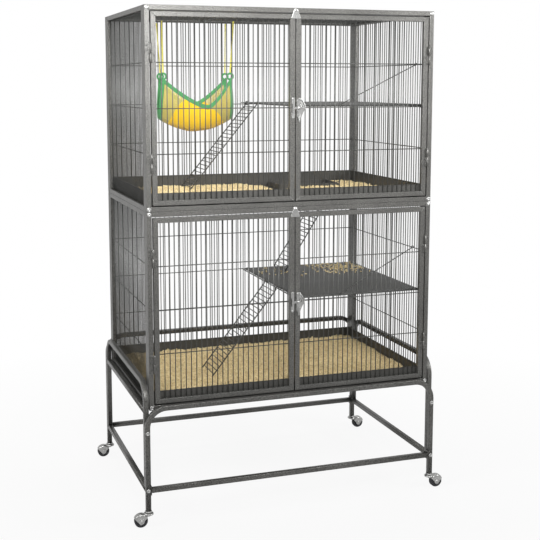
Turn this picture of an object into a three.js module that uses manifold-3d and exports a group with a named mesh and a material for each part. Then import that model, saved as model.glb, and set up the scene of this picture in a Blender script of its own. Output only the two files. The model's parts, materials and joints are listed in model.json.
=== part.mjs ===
// Two-storey wire cage on a wheeled tube stand, in millimetres.
// +Z is up, the doors face -Y, and the floor is z = 0 below the middle of the cage.
import * as THREE from 'three';
import { mergeVertices } from 'three/addons/utils/BufferGeometryUtils.js';
import Module from 'manifold-3d';

const wasm = await Module();
wasm.setup();

// Whole cage
const CAGE_WIDTH = 950;
const CAGE_DEPTH = 630;
const STOREY_PITCH = 614;
const STAND_HEIGHT = 364;
const GAP = 0.3;
const STOREY_HEIGHT = STOREY_PITCH - GAP;
const HALF_WIDTH = CAGE_WIDTH / 2;
const HALF_DEPTH = CAGE_DEPTH / 2;

// Welded wire panels
const FRAME = 15;
const CORNER_STILE = 25;
const WIRE = 3;
const WIRE_PITCH = 17;
const CROSS_WIRE_RISE = 2.15;
const CROSS_WIRE_MIDDLE = STOREY_HEIGHT / 2 + CROSS_WIRE_RISE;
const CROSS_WIRE_SPACING = 136.5;
const WIRE_INSET = FRAME / 2;
const CROSS_INSET = WIRE_INSET + WIRE + GAP;

// Doors
const DOOR_GAP = 3.6;
const DOOR_STILE = 16;
const DOOR_WIDTH = (CAGE_WIDTH - 2 * FRAME - 3 * DOOR_GAP) / 2;
const DOOR_BOTTOM = FRAME + DOOR_GAP;
const DOOR_HEIGHT = STOREY_HEIGHT - 2 * DOOR_BOTTOM;
const DOOR_MIDDLE_X = (DOOR_WIDTH + DOOR_GAP) / 2;

// Door hinges
const HINGE_SPREAD = 164;
const HINGE_HALF_LENGTH = 29;
const HINGE_KNUCKLE_RADIUS = 3.5;
const HINGE_PIN_RADIUS = 1.5;
const HINGE_BORE_RADIUS = 1.9;
const HINGE_PIN_LENGTH = 25;
const HINGE_LEAF = 12;
const HINGE_LEAF_THICKNESS = 1.2;
const HINGE_WEB_DEPTH = 3.5;
const HINGE_SIDES = 6;
const HINGE_LEAF_INSET = 0.5;
const HINGE_WEB_START = 2.2;
const HINGE_FORWARD = 5;
const HINGE_X = HALF_WIDTH - 17;

// Turn button above the meeting door stiles
const BUTTON_INSET = 7.2;
const BUTTON_HEIGHT = STOREY_HEIGHT - BUTTON_INSET;
const BUTTON_BASE_HALF = 15;
const BUTTON_DROP = 25.5;
const BUTTON_TOP_HALF = 4;
const BUTTON_TOP_RISE = 5;
const BUTTON_THICKNESS = 2;
const RIVET_RADIUS = 3;
const RIVET_CLEARANCE = 0.4;
const RIVET_HEAD_RADIUS = 5.2;
const RIVET_HEAD_HEIGHT = 1.6;

// Door latch
const LATCH_DROP = 1;
const LATCH_HEIGHT = CROSS_WIRE_MIDDLE - LATCH_DROP;
const LATCH_PIVOT_X = 11;
const STRIKE_X = -8;
const STRIKE_WIDTH = 10.5;
const STRIKE_LENGTH = 66;
const LATCH_PLATE = 1.5;
const LEVER_THICKNESS = 3.5;
const KEEPER_HALF = 13;
const KEEPER_WALL = 2;
const KEEPER_REACH = 6.5;
const TONGUE_HALF = 4;
const TONGUE_REACH = 20.5;
const LEVER_BELLY = 21;
const LEVER_HEAD = 32;
const LEVER_TAIL = 43;
const LEVER_RIB = 4;
const LATCH_PLATE_LENGTH = 60;
const LATCH_PLATE_WIDTH = 13;
const LATCH_SCREW_RADIUS = 2.2;
const LATCH_SCREW_HEAD = 1;
const LATCH_SCREW_INSET = 4;
const LEVER_BACK = 6;
const LEVER_TAIL_WIDTH = 5;
const LEVER_RIB_MARGIN = 6;
const LEVER_RIB_WIDTH = 4;

// Corner bolts
const BOLT_RADIUS = 6;
const BOLT_HEAD = 2.2;
const BOLT_INSET = 7.5;

// Stand of bent square tube
const TUBE = 16;
const TUBE_EDGE = 2;
const TUBE_CLEAR = 2.4;
const BEND_RADIUS = 60;
const LEG_X = HALF_WIDTH + TUBE_CLEAR + TUBE / 2;
const LEG_Y = HALF_DEPTH + TUBE_CLEAR + TUBE / 2;
const LEG_BOTTOM = 50;
const SIDE_LEG_Y = LEG_Y - TUBE - GAP;
const FRONT_RISE = 8.5;
const SIDE_RISE = 82;
const REAR_RISE = 86;
const FRONT_TOP = STAND_HEIGHT + FRONT_RISE;
const SIDE_TOP = STAND_HEIGHT + SIDE_RISE;
const REAR_TOP = STAND_HEIGHT + REAR_RISE;
const LOWER_BAR = 115;
const SUPPORT_BAR = STAND_HEIGHT - 1;
const LEDGE_REACH = 25;
const LEDGE_THICKNESS = 2;
const STAND_BOLT_HIGH = STAND_HEIGHT - 66;
const BRACKET_THICKNESS = 2;
const BRACKET_HEIGHT = 30;

// Castors
const WHEEL_RADIUS = 21;
const WHEEL_WIDTH = 17.4;
const TRAIL = 24;
const AXLE_RADIUS = 2.5;
const AXLE_CLEARANCE = 0.4;
const HOOD_RADIUS = 23.4;
const HOOD_HALF_WIDTH = 12;
const HOOD_CLEAR = 0.6;
const HOOD_SHOULDER = 3;
const TREAD_SHOULDER = 3;
const NECK_HALF_DEPTH = 8;
const NECK_FRONT = 10;
const NECK_REAR = 6;
const NECK_DROP = 5;
const FLANGE_RADIUS = 16;
const FLANGE_HEIGHT = 7;
const SOCKET_RADIUS = 11;
const SOCKET_HEIGHT = 5;
const STEM_RADIUS = 4;
const STEM_LENGTH = 11;

// Trays and bedding
const TRAY_CLEAR = 1;
const TRAY_HALF_WIDTH = HALF_WIDTH - FRAME - TRAY_CLEAR;
const TRAY_HALF_DEPTH = HALF_DEPTH - FRAME - TRAY_CLEAR;
const TRAY_BOTTOM = 3;
const TRAY_TOP = 55;
const SHEET = 1.5;
const TRAY_RIM = 5;
const TRAY_RIM_HEIGHT = 3;
const RUNNER_REACH = 14;
const RUNNER_THICKNESS = 1.7;
const HATCH_WIDTH = 225;
const HATCH_DEPTH = 135;
const HATCH_SIDE_MARGIN = 119;
const HATCH_REAR_MARGIN = 24;
const HATCH_RIGHT = TRAY_HALF_WIDTH - HATCH_SIDE_MARGIN;
const HATCH_LEFT = HATCH_RIGHT - HATCH_WIDTH;
const HATCH_REAR = TRAY_HALF_DEPTH - HATCH_REAR_MARGIN;
const HATCH_FRONT = HATCH_REAR - HATCH_DEPTH;
const HATCH_RIM = 24;
const TRAY_FLOOR = TRAY_BOTTOM + SHEET;
const LOWER_BEDDING = 19;
const UPPER_BEDDING = 11;
const BEDDING_BUMP = 3;
const BEDDING_THIN = 2;
const HEAP_GAP = 15;
const LEFT_HEAP_END = HATCH_LEFT - HEAP_GAP;
const LEFT_HEAP_TAPER = 120;
const RIGHT_HEAP_START = HATCH_LEFT + HEAP_GAP;
const RIGHT_HEAP_TAPER = 60;

// Shelves
const SHELF_MARGIN = 20;
const SHELF_END_MARGIN = 40;
const SHELF_LEFT = 25;
const SHELF_RIGHT = HALF_WIDTH - SHELF_MARGIN;
const SHELF_REAR = HALF_DEPTH - SHELF_END_MARGIN;
const SHELF_FRONT = -SHELF_REAR;
const SHELF_SKIRT = 6;
const SHELF_WIRE = 4;
const SHELF_WIRE_OUT = 13;
const SHELF_HOOK_WIDTH = 5;
const SHELF_HOOK_DROP = 6;
const SHELF_HOOK_SHARES = [0.05, 0.5, 0.95];
const SHELF_BOTTOM = CROSS_WIRE_MIDDLE + WIRE / 2 + GAP;
const SHELF_TOP = SHELF_BOTTOM + SHELF_SKIRT;
const SHELF_WIRE_X = SHELF_LEFT - SHELF_WIRE_OUT;
const SHELF_WIRE_Y = SHELF_FRONT - SHELF_WIRE_OUT;
const SHELF_WIRE_Z = SHELF_TOP - SHELF_WIRE / 2;
const SHELF_TIE_COUNT = 5;
const SHELF_TIE = 3;
const SHELF_TIE_HEIGHT = 2.4;
const SHELF_TIE_INSET = 4;
const BRACE_REACH = 140;
const BRACE_FOOT_X = SHELF_LEFT + BRACE_REACH;
const BRACE_PANEL_WIRE = 3;

// Ladders
const LADDER_WIDTH = 125;
const LADDER_WIRE = 4;
const RUNG = 3;
const RUNG_PITCH = 15.5;
const HOOK_WALL = 3.4;
const RAIL_START = 5.1;
const WIRE_HOOK_CLEAR = 0.7;
const HOOK_CLEAR = 0.8;
const WIRE_HOOK_RADIUS = WIRE * Math.SQRT1_2 + WIRE_HOOK_CLEAR;
const HOOK_RADIUS = SHELF_WIRE / 2 + HOOK_CLEAR;
const UPPER_LADDER_MARGIN = 122.5;
const LOWER_LADDER_MARGIN = 222.5;
const UPPER_LADDER_Y = SHELF_REAR - UPPER_LADDER_MARGIN;
const LOWER_LADDER_Y = SHELF_FRONT + LOWER_LADDER_MARGIN;
const MIDDLE_LADDER_Y = (HATCH_FRONT + HATCH_REAR) / 2;
const UPPER_LADDER_ANGLE = 50.2;
const LOWER_LADDER_ANGLE = 51.3;
const MIDDLE_LADDER_ANGLE = 57.2;
const BEDDING_CREST = 1.6;

// Angles of the bent hooks' ends, in degrees
const LADDER_HOOK_ANGLES = [-60, 180];
const BRACE_FOOT_ANGLES = [-70, 190];
const BRACE_HEAD_ANGLES = [-10, 240];
const STRAP_HOOK_ANGLES = [-60, 240];

// Hammock
const HAMMOCK_FROM_SIDE = 237;
const HAMMOCK_X = -HALF_WIDTH + HAMMOCK_FROM_SIDE;
const HAMMOCK_Y = 0;
const HAMMOCK_TURN = -9;
const HAMMOCK_HALF_WIDTH = 121;
const HAMMOCK_HALF_DEPTH = 62;
const HAMMOCK_CORNER_RISE = 105;
const HAMMOCK_EDGE_SAG = 102;
const HAMMOCK_SAG = 186;
const HAMMOCK_CORNER = CROSS_WIRE_MIDDLE + HAMMOCK_CORNER_RISE;
const HAMMOCK_EDGE_DIP = HAMMOCK_CORNER - HAMMOCK_EDGE_SAG;
const HAMMOCK_BOTTOM = HAMMOCK_CORNER - HAMMOCK_SAG;
const HAMMOCK_END_RISE = 41;
const CLOTH = 2;
const BINDING = 5;
const STRAP_WIDTH = 5;
const STRAP_WIRE = 2;
const STRAP_HOOK_LENGTH = 30.7;
const STRAP_TOP = STOREY_HEIGHT - STRAP_HOOK_LENGTH;
const STRAP_SPREAD = 14;

// Surfaces
const HAMMERTONE = { color: 0x6a6b68, roughness: 0.55, metalness: 0.6 };
const BLACK_WIRE = { color: 0x3a3b3a, roughness: 0.5, metalness: 0.6 };
const ZINC = { color: 0xc9ccce, roughness: 0.3, metalness: 0.9 };
const TRAY_METAL = { color: 0x3f403e, roughness: 0.6, metalness: 0.5 };
const TYRE = { color: 0x16171a, roughness: 0.75, metalness: 0 };
const PELLETS = { color: 0xd9c08a, roughness: 0.95, metalness: 0 };
const CLOTH_YELLOW = { color: 0xe6b41a, roughness: 0.9, metalness: 0 };

const radians = THREE.MathUtils.degToRad;

// Solids

function solid(geometry) {
  const bare = new THREE.BufferGeometry();
  bare.setAttribute('position', geometry.getAttribute('position'));
  bare.setIndex(geometry.getIndex());
  const merged = mergeVertices(bare, 1e-4);
  const vertProperties = new Float32Array(merged.getAttribute('position').array);
  const triVerts = new Uint32Array(merged.getIndex().array);
  return new wasm.Manifold(new wasm.Mesh({ numProp: 3, vertProperties, triVerts }));
}

function block(from, to) {
  const size = to.map((value, axis) => value - from[axis]);
  const middle = to.map((value, axis) => (value + from[axis]) / 2);
  return solid(new THREE.BoxGeometry(...size).translate(...middle));
}

// A flat shape drawn in X and Z, with its back at y and its thickness towards the front.
function frontPlate(shape, y, thickness, options = {}) {
  const settings = { depth: thickness, bevelEnabled: false, curveSegments: 4, ...options };
  return solid(new THREE.ExtrudeGeometry(shape, settings).rotateX(Math.PI / 2).translate(0, y, 0));
}

// A flat shape drawn in Y and Z, with its thickness from x towards the right.
function sidePlate(shape, x, thickness, options = {}) {
  const settings = { depth: thickness, bevelEnabled: false, curveSegments: 4, ...options };
  const geometry = new THREE.ExtrudeGeometry(shape, settings);
  return solid(geometry.rotateX(Math.PI / 2).rotateZ(Math.PI / 2).translate(x, 0, 0));
}

function alongLine(geometry, from, to) {
  const start = new THREE.Vector3(...from);
  const end = new THREE.Vector3(...to);
  const direction = end.clone().sub(start).normalize();
  const turn = new THREE.Quaternion().setFromUnitVectors(new THREE.Vector3(0, 1, 0), direction);
  const middle = start.add(end).multiplyScalar(0.5);
  return geometry.applyQuaternion(turn).translate(middle.x, middle.y, middle.z);
}

function distance(from, to) {
  return Math.hypot(to[0] - from[0], to[1] - from[1], to[2] - from[2]);
}

function rod(radius, from, to, sides = 8) {
  const geometry = new THREE.CylinderGeometry(radius, radius, distance(from, to), sides);
  return solid(alongLine(geometry, from, to));
}

// A bolt or rivet head on a face that looks towards the front.
function frontHead(x, y, z, radius, height) {
  return rod(radius, [x, y + GAP, z], [x, y - height, z], 6);
}

function join(parts) {
  return parts.reduce((sum, part) => sum.add(part));
}

function rectangle(path, left, right, bottom, top) {
  path.moveTo(left, bottom);
  path.lineTo(right, bottom);
  path.lineTo(right, top);
  path.lineTo(left, top);
  path.closePath();
  return path;
}

function ringShape(width, height, stile, rail) {
  const shape = rectangle(new THREE.Shape(), -width / 2, width / 2, 0, height);
  const inside = new THREE.Path();
  rectangle(inside, -width / 2 + stile, width / 2 - stile, rail, height - rail);
  shape.holes.push(inside);
  return shape;
}

// An open hook: part of a ring about a wire, from one angle to another.
function hookShape(inner, wall, start, end) {
  const shape = new THREE.Shape();
  shape.absarc(0, 0, inner + wall, radians(start), radians(end), false);
  shape.absarc(0, 0, inner, radians(end), radians(start), true);
  shape.closePath();
  return shape;
}

// Nodes

function node(name, solidBody, surface) {
  const { vertProperties, triVerts } = solidBody.getMesh();
  const geometry = new THREE.BufferGeometry();
  geometry.setAttribute('position', new THREE.BufferAttribute(new Float32Array(vertProperties), 3));
  geometry.setIndex(new THREE.BufferAttribute(new Uint32Array(triVerts), 1));
  const flat = geometry.toNonIndexed();
  flat.computeVertexNormals();
  const mesh = new THREE.Mesh(flat, new THREE.MeshStandardMaterial(surface));
  mesh.name = name;
  return mesh;
}

function placed(object, x, y, z) {
  object.position.set(x, y, z);
  return object;
}

function turned(object, axis, degrees) {
  object.rotation[axis] = radians(degrees);
  return object;
}

// Wire panels

function wireCount(span) {
  return Math.round(span / WIRE_PITCH) - 1;
}

function wirePosition(span, number) {
  return -span / 2 + (number * span) / (wireCount(span) + 1);
}

// The middle of the gap between two wires that is nearest to a place.
function betweenWires(span, place) {
  const step = span / (wireCount(span) + 1);
  return wirePosition(span, Math.round((place + span / 2) / step - 0.5) + 0.5);
}

function uprightWires(width, height, stile, rail) {
  const span = width - 2 * stile;
  const wires = [];
  for (let number = 1; number <= wireCount(span); number += 1) {
    const x = wirePosition(span, number);
    const y = WIRE_INSET;
    const half = WIRE / 2;
    const bury = rail / 2;
    wires.push(block([x - half, y - half, bury], [x + half, y + half, height - bury]));
  }
  return wires;
}

function crossWires(width, stile, bottom) {
  const wires = [];
  for (let step = -1; step <= 1; step += 1) {
    const z = CROSS_WIRE_MIDDLE + step * CROSS_WIRE_SPACING - bottom;
    const half = WIRE / 2;
    const reach = (width - stile) / 2;
    wires.push(block([-reach, CROSS_INSET - half, z - half], [reach, CROSS_INSET + half, z + half]));
  }
  return wires;
}

// A wire panel seen from outside: its outer face at y = 0 and its foot at z = 0.
function wirePanel(width, height, stile, rail, bottom) {
  const ring = frontPlate(ringShape(width, height, stile, rail), FRAME, FRAME);
  return join([ring, ...uprightWires(width, height, stile, rail), ...crossWires(width, stile, bottom)]);
}

function rearPanel(name) {
  const panel = wirePanel(CAGE_WIDTH, STOREY_HEIGHT, FRAME, FRAME, 0);
  return turned(placed(node(name, panel, HAMMERTONE), 0, HALF_DEPTH, 0), 'z', 180);
}

const SIDE_LENGTH = CAGE_DEPTH - 2 * FRAME - 2 * GAP;
const SIDE_SPAN = SIDE_LENGTH - 2 * CORNER_STILE;

function sidePanel(name, side) {
  const runner = block(
    [-SIDE_LENGTH / 2 + FRAME, FRAME - GAP, TRAY_BOTTOM - GAP - RUNNER_THICKNESS],
    [SIDE_LENGTH / 2 - FRAME, FRAME + RUNNER_REACH, TRAY_BOTTOM - GAP],
  );
  const panel = wirePanel(SIDE_LENGTH, STOREY_HEIGHT, CORNER_STILE, FRAME, 0).add(runner);
  return turned(placed(node(name, panel, HAMMERTONE), side * HALF_WIDTH, 0, 0), 'z', side * 90);
}

// The roof's long wires run from side to side, so the panel is turned as well as laid flat.
function roofPanel(name) {
  const width = SIDE_LENGTH;
  const length = CAGE_WIDTH - 2 * FRAME - 2 * GAP;
  const ring = frontPlate(ringShape(width, length, FRAME, FRAME), FRAME, FRAME);
  const ribs = crossWires(width, FRAME, CROSS_WIRE_MIDDLE - length / 2);
  const panel = join([ring, ...uprightWires(width, length, FRAME, FRAME), ...ribs]);
  const flat = turned(placed(node(name, panel, HAMMERTONE), 0, -length / 2, 0), 'x', -90);
  const carrier = placed(new THREE.Group(), 0, 0, STOREY_HEIGHT);
  carrier.add(flat);
  return turned(carrier, 'z', -90);
}

// Doors and their hinges. The side is -1 for the left door and 1 for the right one.

function hingeHeights() {
  return [CROSS_WIRE_MIDDLE - HINGE_SPREAD, CROSS_WIRE_MIDDLE + HINGE_SPREAD];
}

function spanBlock(xa, xb, y0, y1, z0, z1) {
  return block([Math.min(xa, xb), y0, z0], [Math.max(xa, xb), y1, z1]);
}

// One half of a hinge on a face at y = 0: the leaf, the web and the knuckle.
function hingeHalf(pinX, leafX, leafSide, bottom, top) {
  const y = -HINGE_FORWARD;
  const webX = leafX + leafSide * HINGE_LEAF * 0.5;
  return join([
    rod(HINGE_KNUCKLE_RADIUS, [pinX, y, bottom], [pinX, y, top], HINGE_SIDES),
    spanBlock(pinX + leafSide * HINGE_WEB_START, webX, -HINGE_WEB_DEPTH, GAP, bottom, top),
    spanBlock(leafX, leafX + leafSide * HINGE_LEAF, -HINGE_LEAF_THICKNESS, GAP, bottom, top),
  ]);
}

function postHinge(side, height) {
  const pinX = side * HINGE_X;
  const leafX = side * (HALF_WIDTH - FRAME + HINGE_LEAF_INSET);
  const bottom = height + GAP / 2;
  const y = -HINGE_FORWARD;
  const pin = rod(HINGE_PIN_RADIUS, [pinX, y, bottom - HINGE_PIN_LENGTH], [pinX, y, bottom + 1], HINGE_SIDES);
  return hingeHalf(pinX, leafX, side, bottom, height + HINGE_HALF_LENGTH).add(pin);
}

function doorHinge(side, height) {
  const pinX = side * HINGE_X;
  const leafX = side * (HALF_WIDTH - FRAME - DOOR_GAP - HINGE_LEAF_INSET);
  const bottom = height - HINGE_HALF_LENGTH;
  const top = height - GAP / 2;
  const y = -HINGE_FORWARD;
  const bore = rod(HINGE_BORE_RADIUS, [pinX, y, bottom - 1], [pinX, y, top + 1], HINGE_SIDES);
  return hingeHalf(pinX, leafX, -side, bottom, top).subtract(bore);
}

function door(name, side) {
  const ring = frontPlate(ringShape(DOOR_WIDTH, DOOR_HEIGHT, DOOR_STILE, FRAME), FRAME, FRAME);
  const uprights = uprightWires(DOOR_WIDTH, DOOR_HEIGHT, DOOR_STILE, FRAME);
  const wires = crossWires(DOOR_WIDTH, DOOR_STILE, DOOR_BOTTOM);
  const moved = join([ring, ...uprights, ...wires]).translate([side * DOOR_MIDDLE_X, 0, DOOR_BOTTOM]);
  const whole = join([moved, ...hingeHeights().map((height) => doorHinge(side, height))]);
  return placed(node(name, whole, HAMMERTONE), 0, -HALF_DEPTH, 0);
}

function frontFrame(name) {
  const ring = frontPlate(ringShape(CAGE_WIDTH, STOREY_HEIGHT, FRAME, FRAME), FRAME, FRAME);
  const headAt = -GAP * 2 - BUTTON_THICKNESS;
  const parts = [
    ring,
    rod(RIVET_RADIUS, [0, GAP, BUTTON_HEIGHT], [0, headAt - 1, BUTTON_HEIGHT]),
    frontHead(0, headAt - GAP, BUTTON_HEIGHT, RIVET_HEAD_RADIUS, RIVET_HEAD_HEIGHT),
  ];
  for (const side of [-1, 1]) {
    const boltX = side * (HALF_WIDTH - BOLT_INSET);
    parts.push(frontHead(boltX, 0, BOLT_INSET, BOLT_RADIUS, BOLT_HEAD));
    parts.push(frontHead(boltX, 0, STOREY_HEIGHT - BOLT_INSET, BOLT_RADIUS, BOLT_HEAD));
    parts.push(...hingeHeights().map((height) => postHinge(side, height)));
  }
  return placed(node(name, join(parts), HAMMERTONE), 0, -HALF_DEPTH, 0);
}

// Closures on the doors

function turnButton(name) {
  const shape = new THREE.Shape();
  shape.moveTo(-BUTTON_TOP_HALF, BUTTON_TOP_RISE);
  shape.lineTo(-BUTTON_BASE_HALF, -BUTTON_DROP);
  shape.lineTo(BUTTON_BASE_HALF, -BUTTON_DROP);
  shape.lineTo(BUTTON_TOP_HALF, BUTTON_TOP_RISE);
  shape.closePath();
  const hole = rod(RIVET_RADIUS + RIVET_CLEARANCE, [0, 1, 0], [0, -BUTTON_THICKNESS - 1, 0]);
  const plate = frontPlate(shape, 0, BUTTON_THICKNESS).subtract(hole);
  return placed(node(name, plate, ZINC), 0, -HALF_DEPTH - GAP, BUTTON_HEIGHT);
}

function roundedStrip(width, length) {
  const shape = new THREE.Shape();
  const radius = width / 2;
  const straight = length / 2 - radius;
  shape.absarc(0, straight, radius, 0, Math.PI, false);
  shape.absarc(0, -straight, radius, Math.PI, 2 * Math.PI, false);
  shape.closePath();
  return shape;
}

// The strip on the left door and the hooked keeper that the lever's tongue lies in.
function strike(name) {
  const wallLeft = -STRIKE_WIDTH / 2;
  const depth = LATCH_PLATE + LEVER_THICKNESS + 3 * GAP;
  const screwZ = STRIKE_LENGTH / 2 - LATCH_SCREW_INSET;
  const parts = [
    frontPlate(roundedStrip(STRIKE_WIDTH, STRIKE_LENGTH), 0, LATCH_PLATE),
    block([wallLeft, -depth - LATCH_PLATE, -KEEPER_HALF], [wallLeft + KEEPER_WALL, -GAP, KEEPER_HALF]),
    block([wallLeft, -depth - LATCH_PLATE, -KEEPER_HALF], [wallLeft + KEEPER_REACH, -depth, KEEPER_HALF]),
    frontHead(0, -LATCH_PLATE, screwZ, LATCH_SCREW_RADIUS, LATCH_SCREW_HEAD),
    frontHead(0, -LATCH_PLATE, -screwZ, LATCH_SCREW_RADIUS, LATCH_SCREW_HEAD),
  ];
  return placed(node(name, join(parts), ZINC), STRIKE_X, -HALF_DEPTH - GAP, LATCH_HEIGHT);
}

function latchPlate(name) {
  const headAt = -LATCH_PLATE - LEVER_THICKNESS - 2 * GAP;
  const parts = [
    frontPlate(roundedStrip(LATCH_PLATE_WIDTH, LATCH_PLATE_LENGTH), 0, LATCH_PLATE),
    rod(RIVET_RADIUS, [0, -GAP, 0], [0, headAt - 1, 0]),
    frontHead(0, headAt - GAP, 0, RIVET_HEAD_RADIUS, RIVET_HEAD_HEIGHT),
  ];
  return placed(node(name, join(parts), ZINC), LATCH_PIVOT_X, -HALF_DEPTH - GAP, LATCH_HEIGHT);
}

// The lever: a D-shaped plate with a tail, a tongue to the left and a raised finger rib.
function latchLever(name) {
  const left = -LEVER_BACK;
  const shape = new THREE.Shape();
  shape.moveTo(left, LEVER_HEAD - TONGUE_HALF);
  shape.lineTo(left, TONGUE_HALF);
  shape.lineTo(-TONGUE_REACH, TONGUE_HALF);
  shape.lineTo(-TONGUE_REACH, -TONGUE_HALF);
  shape.lineTo(left, -TONGUE_HALF);
  shape.lineTo(left + TONGUE_HALF, -LEVER_TAIL);
  shape.lineTo(left + TONGUE_HALF + LEVER_TAIL_WIDTH, -LEVER_TAIL);
  shape.quadraticCurveTo(LEVER_BACK + 2, -LEVER_HEAD / 2, LEVER_BELLY, -2);
  shape.quadraticCurveTo(LEVER_BELLY, LEVER_HEAD / 2, 2, LEVER_HEAD);
  shape.closePath();
  const ribRight = LEVER_BELLY - LEVER_RIB_MARGIN;
  const ribLeft = ribRight - LEVER_RIB_WIDTH;
  const rib = new THREE.Shape();
  rib.moveTo(ribRight, 0);
  rib.quadraticCurveTo(ribRight, LEVER_HEAD / 2, 2, LEVER_HEAD - LEVER_RIB_MARGIN);
  rib.lineTo(2, LEVER_HEAD - LEVER_RIB_MARGIN - LEVER_RIB_WIDTH);
  rib.quadraticCurveTo(ribLeft, LEVER_HEAD / 2 - 2, ribLeft, 0);
  rib.closePath();
  const pivot = rod(RIVET_RADIUS + RIVET_CLEARANCE, [0, 1, 0], [0, -LEVER_THICKNESS - 1, 0]);
  const plate = frontPlate(shape, 0, LEVER_THICKNESS).subtract(pivot);
  const whole = plate.add(frontPlate(rib, -LEVER_THICKNESS + GAP, LEVER_RIB));
  const y = -HALF_DEPTH - 2 * GAP - LATCH_PLATE;
  return placed(node(name, whole, ZINC), LATCH_PIVOT_X, y, LATCH_HEIGHT);
}

// Trays and bedding

function trayShell() {
  const wall = SHEET;
  const outer = block(
    [-TRAY_HALF_WIDTH, -TRAY_HALF_DEPTH, TRAY_BOTTOM],
    [TRAY_HALF_WIDTH, TRAY_HALF_DEPTH, TRAY_TOP],
  );
  const lower = block(
    [-TRAY_HALF_WIDTH + wall, -TRAY_HALF_DEPTH + wall, TRAY_FLOOR],
    [TRAY_HALF_WIDTH - wall, TRAY_HALF_DEPTH - wall, TRAY_TOP - TRAY_RIM_HEIGHT],
  );
  const mouth = block(
    [-TRAY_HALF_WIDTH + TRAY_RIM, -TRAY_HALF_DEPTH + TRAY_RIM, TRAY_TOP - TRAY_RIM_HEIGHT - 1],
    [TRAY_HALF_WIDTH - TRAY_RIM, TRAY_HALF_DEPTH - TRAY_RIM, TRAY_TOP + 1],
  );
  return outer.subtract(lower).subtract(mouth);
}

function tray(name) {
  return node(name, trayShell(), TRAY_METAL);
}

// The upper tray has the hatch of the middle ladder.
function hatchTray(name) {
  const hatch = block([HATCH_LEFT, HATCH_FRONT, -1], [HATCH_RIGHT, HATCH_REAR, HATCH_RIM + 1]);
  return node(name, trayShell().subtract(hatch), TRAY_METAL);
}

// The upright strips of the hatch's rim. The side ones reach past the front and rear ones.
function rimSide(name, left) {
  const bottom = TRAY_FLOOR + GAP;
  const from = [left, HATCH_FRONT - SHEET, bottom];
  const to = [left + SHEET, HATCH_REAR + SHEET, HATCH_RIM];
  return node(name, block(from, to), TRAY_METAL);
}

function rimEnd(name, front) {
  const bottom = TRAY_FLOOR + GAP;
  const from = [HATCH_LEFT + GAP, front, bottom];
  const to = [HATCH_RIGHT - GAP, front + SHEET, HATCH_RIM];
  return node(name, block(from, to), TRAY_METAL);
}

function bump(x, y) {
  return Math.sin(x * 0.021 + 1.3) * Math.cos(y * 0.027) + 0.6 * Math.sin(x * 0.047 - y * 0.039);
}

// A bed of pellets whose top rises and falls; its depth at a place comes from the height function.
function bed(left, right, front, rear, columns, rows, height) {
  const geometry = new THREE.BoxGeometry(right - left, rear - front, 1, columns, rows, 1);
  geometry.translate((left + right) / 2, (front + rear) / 2, 0);
  const position = geometry.getAttribute('position');
  for (let index = 0; index < position.count; index += 1) {
    const x = position.getX(index);
    const y = position.getY(index);
    const foot = TRAY_FLOOR + GAP;
    position.setZ(index, position.getZ(index) > 0 ? foot + height(x, y) : foot);
  }
  return solid(geometry);
}

const BED_X = TRAY_HALF_WIDTH - SHEET - GAP;
const BED_Y = TRAY_HALF_DEPTH - SHEET - GAP;

function lowerBedding(name) {
  const height = (x, y) => LOWER_BEDDING + BEDDING_BUMP * bump(x, y);
  return node(name, bed(-BED_X, BED_X, -BED_Y, BED_Y, 14, 9, height), PELLETS);
}

function leftHeap(name) {
  const height = (x, y) => {
    const fade = THREE.MathUtils.smoothstep(LEFT_HEAP_END - x, 0, LEFT_HEAP_TAPER);
    return BEDDING_THIN + fade * (UPPER_BEDDING - BEDDING_THIN + BEDDING_BUMP * bump(x, y));
  };
  return node(name, bed(-BED_X, LEFT_HEAP_END, -BED_Y, BED_Y, 10, 8, height), PELLETS);
}

function rightHeap(name) {
  const height = (x, y) => {
    const fade = THREE.MathUtils.smoothstep(x - RIGHT_HEAP_START, 0, RIGHT_HEAP_TAPER);
    return BEDDING_THIN + fade * (UPPER_BEDDING - BEDDING_THIN + BEDDING_BUMP * bump(x, y));
  };
  const clear = SHEET + GAP;
  const hatch = block(
    [HATCH_LEFT - clear, HATCH_FRONT - clear, 0],
    [HATCH_RIGHT + clear, HATCH_REAR + clear, TRAY_TOP],
  );
  const heap = bed(RIGHT_HEAP_START, BED_X, -BED_Y, BED_Y, 6, 8, height);
  return node(name, heap.subtract(hatch), PELLETS);
}

// Shelves

function shelfTray() {
  const outer = block([SHELF_LEFT, SHELF_FRONT, SHELF_BOTTOM], [SHELF_RIGHT, SHELF_REAR, SHELF_TOP]);
  const under = block(
    [SHELF_LEFT + SHEET, SHELF_FRONT + SHEET, SHELF_BOTTOM - 1],
    [SHELF_RIGHT - SHEET, SHELF_REAR - SHEET, SHELF_TOP - SHEET],
  );
  return outer.subtract(under);
}

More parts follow.
